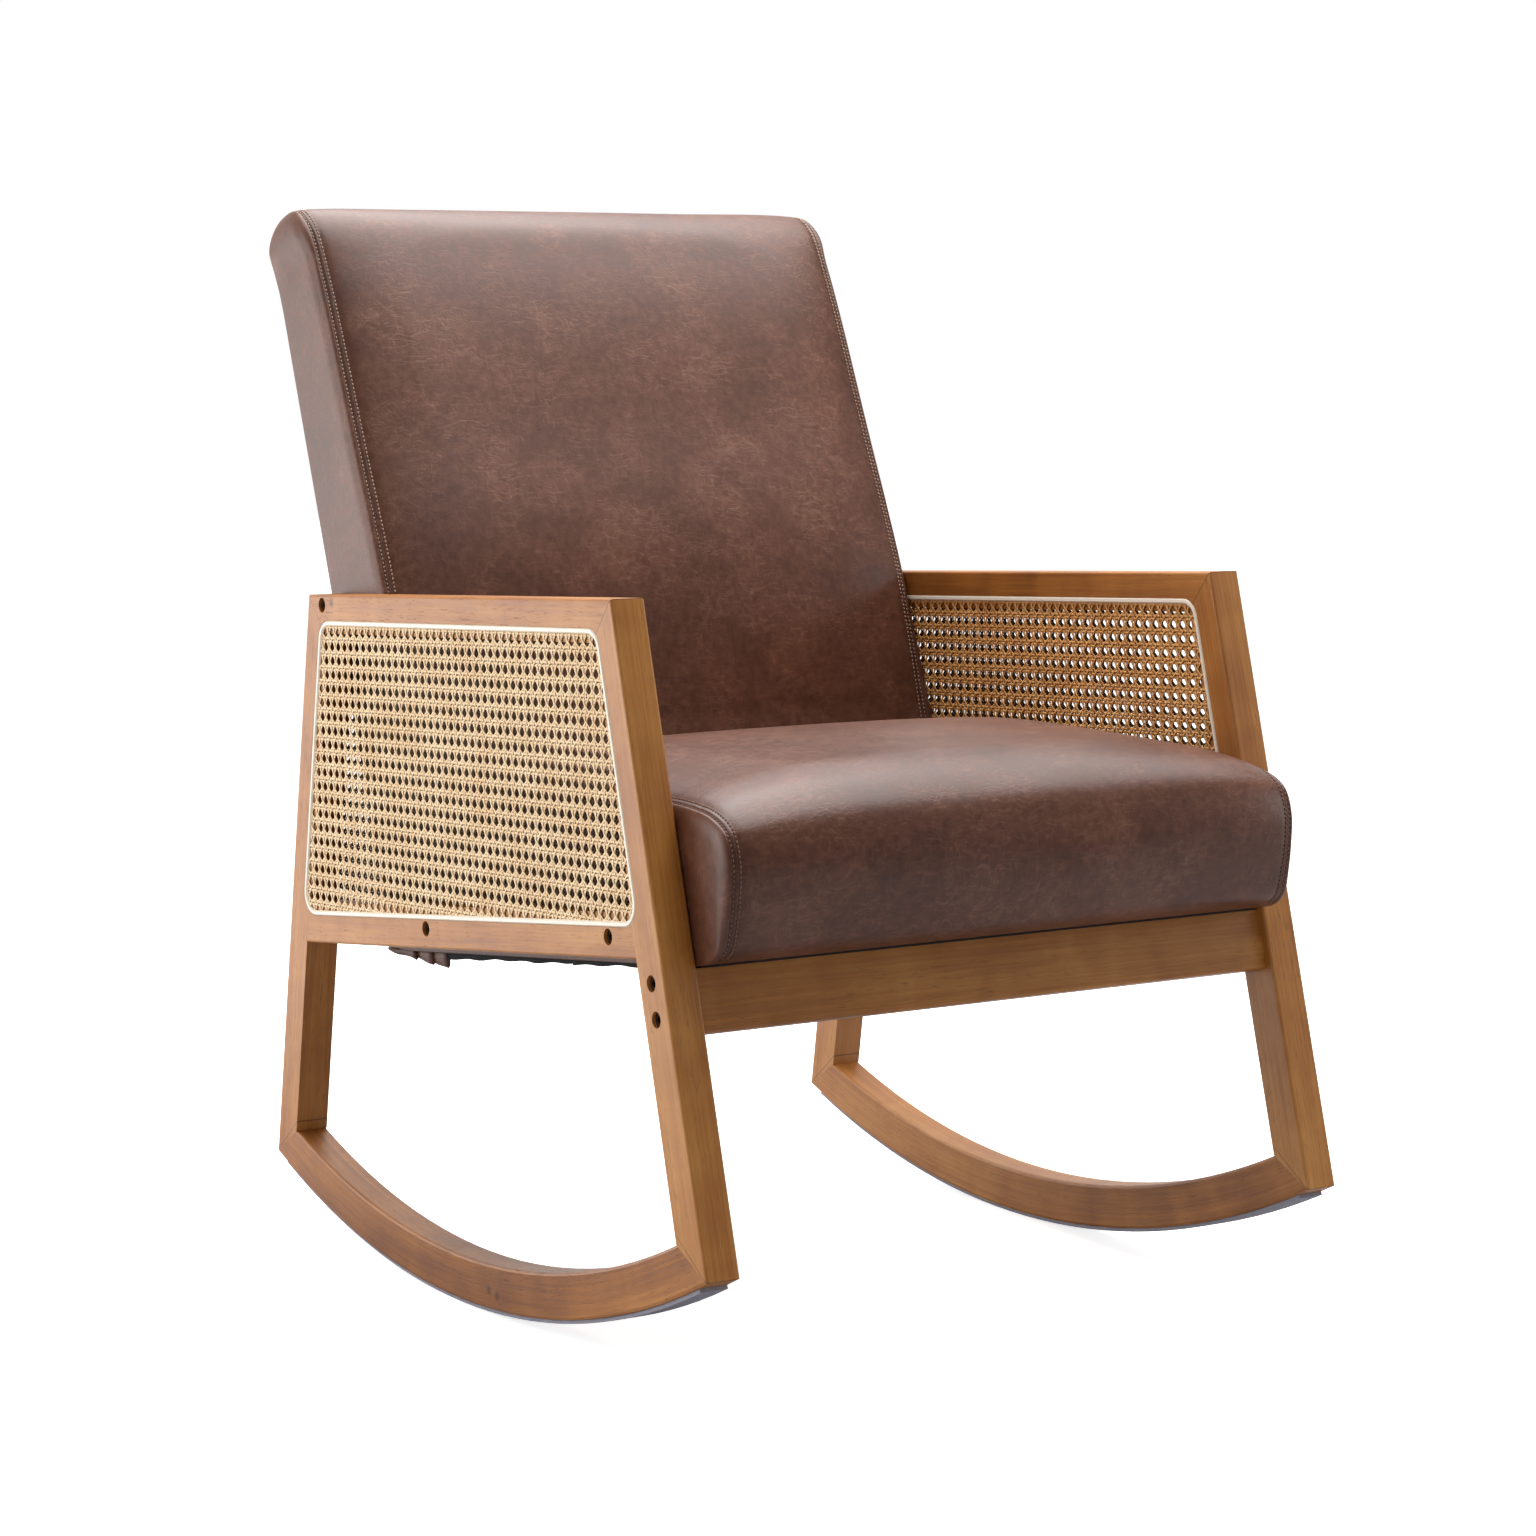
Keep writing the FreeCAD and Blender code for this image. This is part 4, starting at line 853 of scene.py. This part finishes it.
def hidden_path(stops):
    """Straight runs from the end of the smooth path round the back and the underside to its start."""
    dense = []
    for first, second in zip(stops, stops[1:]):
        steps = max(1, round(np.linalg.norm(second - first) / hidden_spacing))
        dense += [first + (second - first) * step / steps for step in range(steps)]
    return np.array(dense[1:])


def even_columns(half):
    """Places across the cushion from seam to seam, close together beside the seams."""
    inside = half - edge_columns[-1]
    steps = round(2 * inside / column_spacing)
    middle_part = [-inside + 2 * inside * step / steps for step in range(steps + 1)]
    left = [-half + inset for inset in edge_columns[:-1]]
    return left + middle_part + [-x for x in reversed(left)]


class Cushion:
    """A closed cushion: a wrapped panel between two seams and a boxed piece on each side."""

    def __init__(self, name, path, hidden, bulge, crown, spine):
        half = cushion_half - seam_inset
        back_run = hidden_path([path[-1][:2], *hidden, path[0][:2]])
        loop = np.vstack([path, np.hstack([back_run, np.zeros((len(back_run), 4))])])
        self.visible = len(path)
        self.around = len(loop)
        panel = []
        for across in even_columns(half):
            reach = abs(across / half)
            rise = 1 - soft_fall * reach**soft_power - steep_fall * reach**steep_power
            panel.append(self.ring(loop, across, rise, 0.0, bulge, crown))
        left, right = [], []
        for step in boxing_turns:
            angle = step * math.pi / 2
            out = half + seam_inset * math.sin(angle)
            drawn = 1 - math.cos(angle)
            left.append(self.ring(loop, -out, 0.0, drawn, bulge, crown))
            right.append(self.ring(loop, out, 0.0, drawn, bulge, crown))
        for group in (left, right):
            edge = group[-1]
            group += [self.shrunk(edge, spine, share) for share in boxing_shares]
        self.wrap_start = len(left)
        self.last_column = len(panel) - 1
        rings = left[::-1] + panel + right
        verts = np.vstack(rings)
        count = self.around
        faces = []
        for low in range(0, len(verts) - count, count):
            for place in range(count):
                after = (place + 1) % count
                faces.append((low + place, low + after, low + count + after, low + count + place))
        faces.append(tuple(reversed(range(count))))
        faces.append(tuple(range(len(verts) - count, len(verts))))
        self.mesh = bpy.data.meshes.new(name)
        self.mesh.from_pydata([tuple(v) for v in verts], [], faces)
        shell = bmesh.new()
        shell.from_mesh(self.mesh)
        bmesh.ops.triangulate(shell, faces=[face for face in shell.faces if len(face.verts) > 4])
        bmesh.ops.recalc_face_normals(shell, faces=shell.faces)
        shell.to_mesh(self.mesh)
        shell.free()

    def ring(self, loop, across, rise, drawn, bulge, crown):
        along = loop[:, 0] - loop[:, 2] * bulge * rise + loop[:, 4] * drawn_in * drawn
        height = loop[:, 1] + loop[:, 3] * crown * rise + loop[:, 5] * drawn_in * drawn
        return np.column_stack([np.full(len(loop), across), along, height])

    def shrunk(self, ring, spine, share):
        """A ring drawn towards a line inside it, on the flat side of the cushion."""
        start, stop = np.array(spine[0]), np.array(spine[1])
        run = stop - start
        place = np.clip(((ring[:, 1:] - start) @ run) / (run @ run), 0, 1)
        nearest = start + place[:, None] * run
        result = ring.copy()
        result[:, 1:] = nearest + (ring[:, 1:] - nearest) * share
        return result

    def vertex(self, column, place):
        """The number of the vertex in a column of the wrapped panel, counted from the left seam."""
        return (self.wrap_start + column) * self.around + place

    def move_to(self, points):
        self.mesh.vertices.foreach_set("co", points.ravel())
        self.mesh.update()

    def grid(self):
        """The column of each vertex, counted from the left seam, and its place along the path."""
        numbers = np.arange(len(self.mesh.vertices))
        return numbers // self.around - self.wrap_start, numbers % self.around


def each_vertex(mesh, what):
    """The places ("co") or the normals of a mesh's vertices."""
    flat = np.zeros(len(mesh.vertices) * 3)
    mesh.vertices.foreach_get(what, flat)
    return flat.reshape(-1, 3)


filling_pressure = 4.0
leather_slack = 0.003
last_frame = 20
smoothing_rounds = 30


def blown_up(cushion, most, free_from, free_to):
    """Fills the wrapped panel like a bag held at its seams, then evens out and caps what that moves."""
    column, place = cushion.grid()
    inside = (column > 1) & (column < cushion.last_column - 1)
    free = inside & (place > free_from) & (place < free_to)
    body = bpy.data.objects.new("filling", cushion.mesh.copy())
    chair.objects.link(body)
    held = body.vertex_groups.new(name="held")
    held.add([int(n) for n in np.nonzero(~free)[0]], 1.0, "REPLACE")
    cloth = body.modifiers.new("cloth", "CLOTH")
    settings = cloth.settings
    settings.quality = 5
    settings.mass = 0.25
    settings.tension_stiffness = 30.0
    settings.compression_stiffness = 30.0
    settings.shear_stiffness = 12.0
    settings.bending_stiffness = 1.2
    settings.tension_damping = 12.0
    settings.shear_damping = 12.0
    settings.shrink_min = -leather_slack
    settings.vertex_group_mass = "held"
    settings.use_pressure = True
    settings.uniform_pressure_force = filling_pressure
    settings.effector_weights.gravity = 0.0
    cloth.collision_settings.use_collision = False
    cloth.point_cache.frame_start = 1
    cloth.point_cache.frame_end = last_frame
    for step in range(1, last_frame + 1):
        bpy.context.scene.frame_set(step)
    graph = bpy.context.evaluated_depsgraph_get()
    filled = each_vertex(body.evaluated_get(graph).to_mesh(), "co")
    start = each_vertex(cushion.mesh, "co")
    moved = (filled - start).reshape(-1, cushion.around, 3)
    for step in range(smoothing_rounds):
        beside = np.roll(moved, 1, axis=1) + np.roll(moved, -1, axis=1)
        beside[1:-1] += moved[:-2] + moved[2:]
        moved[1:-1] = beside[1:-1] / 4
    moved = moved.reshape(-1, 3) * free[:, None]
    length = np.linalg.norm(moved, axis=1)
    keep = np.minimum(1.0, most / np.maximum(length, 1e-9))
    cushion.move_to(start + moved * keep[:, None])
    bpy.context.scene.frame_set(1)
    bpy.data.objects.remove(body)


seat_spacings = [0.008, 0.006, 0.005, 0.0045, 0.0045, 0.0045, 0.0055, 0.007, 0.0085, 0.0085]
seat_keys = smooth_path(seat_path, seat_spacings)
seat_spine = ((-0.330, 0.058), (0.05, 0.075))
seat = Cushion("seat_cushion", seat_keys, seat_hidden, seat_bulge, seat_crown, seat_spine)
blown_up(seat, 0.004, 5, seat.visible - 5)

seam_depth = 0.0022
topstitch_depth = 0.0013
beside_seam = 0.3
gather_pitches = (2.31, 3.07, 1.73, 4.4)
gather_stretch = 1.25
gather_reach = 0.009
calm_gather = 0.25


def sewn(cushion, pucker, busy_from, busy_to, seed):
    """Sinks the seams and the topstitching, and gathers the leather beside them where the path turns."""
    column, place = cushion.grid()
    points = each_vertex(cushion.mesh, "co")
    normals = each_vertex(cushion.mesh, "normal")
    from_seam = np.minimum(column, cushion.last_column - column)
    depth = np.zeros(len(points))
    on_path = (place > 1) & (place < cushion.visible - 1)
    depth[(from_seam == 0) & on_path] = seam_depth
    depth[(abs(from_seam) == 1) & on_path] = seam_depth * beside_seam
    depth[(from_seam == topstitch_column) & on_path] = topstitch_depth
    inset = cushion_half - seam_inset - abs(points[:, 0])
    busy = np.clip((place - busy_from) / 4, 0, 1) * np.clip((busy_to - place) / 6, 0, 1)
    side = np.sign(points[:, 0])
    ripple = np.zeros(len(points))
    for number, pitch in enumerate(gather_pitches):
        phase = seed * (number + 1) * 1.7 + side * (number + 0.6)
        ripple += np.sin(place * 2 * math.pi / pitch / gather_stretch + phase) / len(gather_pitches)
    fade = np.exp(-np.clip(inset, 0, None) / gather_reach) * (inset > -0.0005) * on_path
    gather = pucker * ripple * fade * (calm_gather + (1 - calm_gather) * busy) * (from_seam != 0)
    cushion.move_to(points - normals * (depth - gather)[:, None])


sewn(seat, 0.0006, 18, 46, 1.0)

# How far the painted shade beside a seam reaches on the panel and on the boxing.
seam_shade_on_panel = 0.016
seam_shade_on_boxing = 0.002


def shade_beside_seams(cushion):
    """Writes how close each point lies to a seam, for the painted shade that darkens the leather in the
    seam's valley.
    """
    inset = cushion_half - seam_inset - abs(each_vertex(cushion.mesh, "co")[:, 0])
    values = np.where(inset > 0, np.exp(-inset / seam_shade_on_panel), np.exp(inset / seam_shade_on_boxing))
    cushion.mesh.attributes.new("rub", "FLOAT", "POINT").data.foreach_set("value", values.astype(np.float32))


leather_dark = srgb(66, 35, 22)
leather_middle = srgb(93, 54, 37)
leather_light = srgb(120, 76, 56)
crease_tone = srgb(170, 124, 100)
seam_shade_tone = srgb(58, 30, 16)


def thin_lines(field, half_width):
    """One where a smooth field crosses its middle value, and nought a little away from there."""
    return 1.0 - abs(field - 0.5).between(half_width * 0.2, half_width)


def pull_up_leather(wire):
    """Waxed brown leather: softly mottled, with patches of thin pale creases, and a close grain."""
    position = wire.spot()
    clouds = position.noise(6.0, 2.0, 0.8)
    patches = position.noise(17.0, 3.0, 0.6)
    mottling = position.noise(130.0, 5.0, 0.3)
    drift = position.node("ShaderNodeTexNoise", {"Vector": position, "Scale": 50.0, "Detail": 1.5}, "Color")
    shaken = position.vector_math("MULTIPLY_ADD", drift, (0.012, 0.012, 0.012), position)
    rub = wire.node("ShaderNodeAttribute", {}, "Fac", attribute_name="rub")
    long_creases = thin_lines(shaken.noise(26.0, 1.5, 0.3), 0.018) * patches.between(0.48, 0.62)
    cells = {"Vector": shaken, "Scale": 85.0, "Randomness": 1.0}
    edges = position.node("ShaderNodeTexVoronoi", cells, "Distance", feature="DISTANCE_TO_EDGE")
    net = (1.0 - edges.between(0.0, 0.06)) * position.noise(44.0, 2.0).between(0.5, 0.64)
    across = shaken.stretched(55.0, 440.0, 380.0).noise(1.0, 1.5).between(0.55, 0.64)
    upright = shaken.stretched(330.0, 440.0, 65.0).noise(1.0, 1.5).between(0.58, 0.67)
    strokes = (across + upright * 0.7) * patches.between(0.26, 0.66)
    creases = long_creases * 0.4 + net * 0.3 + strokes * 0.5
    tone = clouds * 0.3 + patches * 0.3 + mottling * 0.4
    colour = tone.ramp((0.3, leather_dark), (0.72, leather_light), (0.5, leather_middle))
    colour = (creases * 0.23).mix(colour, crease_tone)
    # Painted shade: the leather is darkened beside the seams, where the valley lies in shade.
    colour = (rub * 0.6).mix(colour, seam_shade_tone)
    grain = position.noise(620.0, 3.0, 0.4)
    height = grain * 0.25 + mottling * 0.3 - creases * 0.35
    return {
        "Base Color": colour,
        "Roughness": 0.29 + mottling * 0.14 + grain * 0.06,
        "Normal": bumped(height, 0.5, 0.0006),
        "IOR": 1.46,
    }


leather = finish("pull_up_leather", pull_up_leather)


def made_smooth(mesh, material):
    """Rounds a mesh to the eye and gives it its material."""
    mesh.polygons.foreach_set("use_smooth", [True] * len(mesh.polygons))
    mesh.materials.append(material)


def upholster(cushion, place, *replaced):
    """Puts a cushion in its place on the chair, smooth and covered in leather."""
    shade_beside_seams(cushion)
    cushion.mesh.transform(place)
    made_smooth(cushion.mesh, leather)
    piece = add_piece(cushion.mesh.name, cushion.mesh, "leather", *replaced)
    soften = piece.modifiers.new("soften", "SUBSURF")
    soften.levels = 1
    soften.render_levels = 1
    return piece


seat_piece = upholster(seat, seat_place, "seat_cover", "seat_foam")
# The rails whose ends and rear faces show from behind are wrapped in the same leather.
for rail in ("seat_frame_rear", "seat_frame_left", "seat_frame_right", "back_frame_bottom"):
    dress(f"{rail}_rail", leather)


def sewing_tool():
    """Lays a stitch at every step along a line, turned along it and stood up from the leather."""
    kinds = {"Stitch": "NodeSocketObject", "Step": "NodeSocketFloat", "Thread": "NodeSocketMaterial"}
    tree, wires = new_tool("sewing", kinds)
    start = wires["Geometry"]
    line = start.node("GeometryNodeMeshToCurve", {"Mesh": start})
    steps = start.node("GeometryNodeResampleCurve", {"Curve": line, "Length": wires["Step"]}, mode="LENGTH")
    up = start.node("GeometryNodeInputNamedAttribute", {"Name": "up"}, "Attribute", data_type="FLOAT_VECTOR")
    along = start.node("GeometryNodeInputTangent")
    first = start.node("FunctionNodeAlignEulerToVector", {"Vector": along}, axis="X")
    sockets = {"Rotation": first, "Vector": up}
    turn = start.node("FunctionNodeAlignEulerToVector", sockets, axis="Z", pivot_axis="X")
    return close_tool(tree, copies_on(steps, wires["Stitch"], Rotation=turn), wires["Thread"])


def closed_strand(mesh, rings):
    """A strand through rings of corners, closed at both ends."""
    band(mesh, rings)
    mesh.faces.new(rings[0])
    mesh.faces.new(rings[-1])


def stitch_shape(length, width):
    """One stitch of thread: a short rounded strand whose ends dip into the leather."""
    mesh = bmesh.new()
    rings = []
    stations = ((-0.5, 0.25, -0.4), (-0.3, 0.85, 0.3), (0.0, 1.0, 0.6), (0.3, 0.85, 0.3), (0.5, 0.25, -0.4))
    for along, girth, height in stations:
        ring = []
        for corner in range(6):
            angle = corner * math.pi / 3
            offset = (math.cos(angle) * width / 2 * girth, (math.sin(angle) * girth / 2 + height) * width)
            ring.append(mesh.verts.new((along * length, *offset)))
        rings.append(ring)
    closed_strand(mesh, rings)
    bmesh.ops.recalc_face_normals(mesh, faces=mesh.faces)
    return bpy.data.objects.new("stitch", mesh_of(mesh, "stitch"))


def sewing_thread(dark, light):
    return two_tones(fine_grain(1500.0), dark, light, 0.6, 0.4, 0.0001)


# One thread in two copies: painted shade makes the seat's darker, and a painted sheen makes the back's
# paler.
seat_thread = finish("seat_thread", sewing_thread(srgb(98, 58, 42), srgb(158, 114, 92)))
back_thread = finish("back_thread", sewing_thread(srgb(140, 102, 80), srgb(208, 176, 152)))
sewing = sewing_tool()
stitch_length = 0.0031
stitch_width = 0.0013
stitch_step = 0.0039
stitch = stitch_shape(stitch_length, stitch_width)


def stitched(name, piece, lines, thread):
    """Sews rows of stitches on a finished cushion, along lines of its vertices."""
    graph = bpy.context.evaluated_depsgraph_get()
    surface = piece.evaluated_get(graph).to_mesh()
    points, ups, edges = [], [], []
    for line in lines:
        start = len(points)
        for number in line:
            vertex = surface.vertices[number]
            points.append(vertex.co.copy())
            ups.append(vertex.normal.copy())
        edges += [(n, n + 1) for n in range(start, len(points) - 1)]
    path = bpy.data.meshes.new("stitch_lines")
    path.from_pydata(points, edges, [])
    flat = [value for up in ups for value in up]
    path.attributes.new("up", "FLOAT_VECTOR", "POINT").data.foreach_set("vector", flat)
    values = {"Stitch": stitch, "Step": stitch_step, "Thread": thread}
    mesh = made_by(sewing, bpy.data.objects.new("stitch_lines", path), values)
    add_piece(name, mesh, "leather")


def wrap_lines(cushion, start, stop):
    """The lines of vertices along both seams and both rows of topstitching."""
    lines = []
    for inset in (0, topstitch_column):
        for column in (inset, cushion.last_column - inset):
            lines.append([cushion.vertex(column, place) for place in range(start, stop)])
    return lines


stitched("seat_stitching", seat_piece, wrap_lines(seat, 2, seat.visible - 2), seat_thread)


# The tucks under the seat
# At the rear of each side the leather is folded into flat pleats and stapled under the frame. In front of
# them the raw edge of the black dust cloth hangs a little below the rail.

# For each strip: where it starts and stops, how far it hangs there, and its place across.
leather_pleats = [
    (0.222, 0.168, 0.002, 0.009, 0.2715),
    (0.196, 0.140, 0.004, 0.013, 0.2690),
    (0.166, 0.118, 0.006, 0.017, 0.2665),
]
cloth_edge = [(0.122, -0.120, 0.0075, 0.0055, 0.2650), (-0.112, -0.330, 0.006, 0.005, 0.2655)]
strip_step = 0.007
strip_root = 0.002


def hanging_strips(name, strips, thickness, ripple, side):
    """Flattened folds that hang from the seat's underside, rooted a little above it."""
    mesh = bmesh.new()
    for number, (start, stop, first_hang, last_hang, across) in enumerate(strips):
        steps = max(8, round(abs(stop - start) / strip_step))
        rings = []
        for step in range(steps + 1):
            share = step / steps
            place = share * steps
            wave = math.sin(place * 0.83 + number * 2.1) + 0.6 * math.sin(place * 0.31 + number)
            hang = first_hang + (last_hang - first_hang) * share + ripple * wave + strip_root
            along = start + (stop - start) * share
            ring = []
            for corner in range(8):
                angle = corner * math.pi / 4
                out = across + math.sin(angle) * thickness / 2 + ripple * wave * 0.8
                height = strip_root - hang * (0.5 - 0.5 * math.cos(angle))
                ring.append(mesh.verts.new((side * out, along, height)))
            rings.append(ring)
        closed_strand(mesh, rings)
    bmesh.ops.recalc_face_normals(mesh, faces=mesh.faces)
    data = mesh_of(mesh, name)
    data.transform(seat_place)
    return data


cloth_tones = two_tones(fine_grain(1100.0), srgb(14, 13, 14), srgb(34, 32, 33), 0.9, 0.5, 0.0002)
black_cloth = finish("dust_cloth", cloth_tones)
dress("seat_dust_cover", black_cloth)
for side, sign in (("left", -1.0), ("right", 1.0)):
    pleats = hanging_strips(f"{side}_pleats", leather_pleats, 0.0045, 0.0007, sign)
    made_smooth(pleats, leather)
    add_piece(f"{side}_tucked_pleats", pleats, "leather")
    edge = hanging_strips(f"{side}_cloth_edge", cloth_edge, 0.0016, 0.0006, sign)
    made_smooth(edge, black_cloth)
    add_piece(f"{side}_dust_cloth_edge", edge, "dust_cloth")


# The back cushion
# It stands on the rear of the seat, raked back, with one leather panel over its front and top, boxed sides
# and a separate rear panel that closes it over the bolts and the frame.

back_rake = math.radians(17.5)
back_start = 0.2972
back_place = rested @ Matrix.Translation((0.0, back_start, arm_height)) @ Matrix.Rotation(-back_rake, 4, "X")
back_bulge = 0.017
back_foot_front = -0.314
back_foot_rear = -0.345
rear_plane = -0.002
back_path = np.array(
    [
        (-0.0905, back_foot_front, 0.00, 0.0, 0.0, 0.0),
        (-0.0954, -0.1839, 0.00, 0.0, 0.0, 0.0),
        (-0.1016, -0.0320, 0.90, 0.0, 0.8, 0.0),
        (-0.0928, 0.1172, 1.00, 0.0, 1.0, 0.0),
        (-0.0798, 0.2911, 0.85, 0.05, 1.0, -0.2),
        (-0.0726, 0.3294, 0.60, 0.1, 0.8, -0.7),
        (-0.0549, 0.3515, 0.30, 0.2, 0.4, -1.0),
        (-0.0305, 0.3564, 0.10, 0.2, 0.0, -1.0),
        (-0.0086, 0.3529, 0.00, 0.1, 0.0, -1.0),
        (-0.0035, 0.3472, 0.00, 0.0, 0.0, -0.9),
        (rear_plane, 0.3373, 0.00, 0.0, 0.0, -0.8),
    ]
)
back_hidden = np.array([(rear_plane, back_foot_rear)])
back_spacings = [0.012, 0.0085, 0.0085, 0.0085, 0.005, 0.0045, 0.0045, 0.0045, 0.003, 0.004]
back_keys = smooth_path(back_path, back_spacings)
back_spine = ((-0.045, -0.28), (-0.042, 0.30))
back = Cushion("back_cushion", back_keys, back_hidden, back_bulge, back_bulge, back_spine)
blown_up(back, 0.003, 14, back.visible - 8)
sewn(back, 0.0004, 60, 78, 2.0)

corner_height = 0.300
corner_bulge = 0.0030
corner_pinch = 0.0007
bulge_above = 0.026
bulge_reach = 0.020
pinch_reach = 0.013
rear_from = -0.045
rear_blend = 0.04


def full_corners(cushion):
    """Bulges each boxed corner at the top, above a slack place where the leather is drawn in a little."""
    points = each_vertex(cushion.mesh, "co")
    boxing = np.clip((abs(points[:, 0]) - (cushion_half - seam_inset)) / seam_inset, 0, 1)
    above = points[:, 2] - corner_height
    push = corner_bulge * np.exp(-(((above - bulge_above) / bulge_reach) ** 2))
    push = push - corner_pinch * np.exp(-((above / pinch_reach) ** 2))
    to_rear = np.clip((points[:, 1] - rear_from) / rear_blend, 0, 1)
    points[:, 0] += np.sign(points[:, 0]) * push * boxing
    points[:, 1] += np.maximum(push, 0) * boxing * to_rear
    cushion.move_to(points)


full_corners(back)
back_piece = upholster(back, back_place, "back_cover", "back_foam")
stitched("back_stitching", back_piece, wrap_lines(back, 12, back.visible - 1), back_thread)
dress("back_rear_panel", leather)
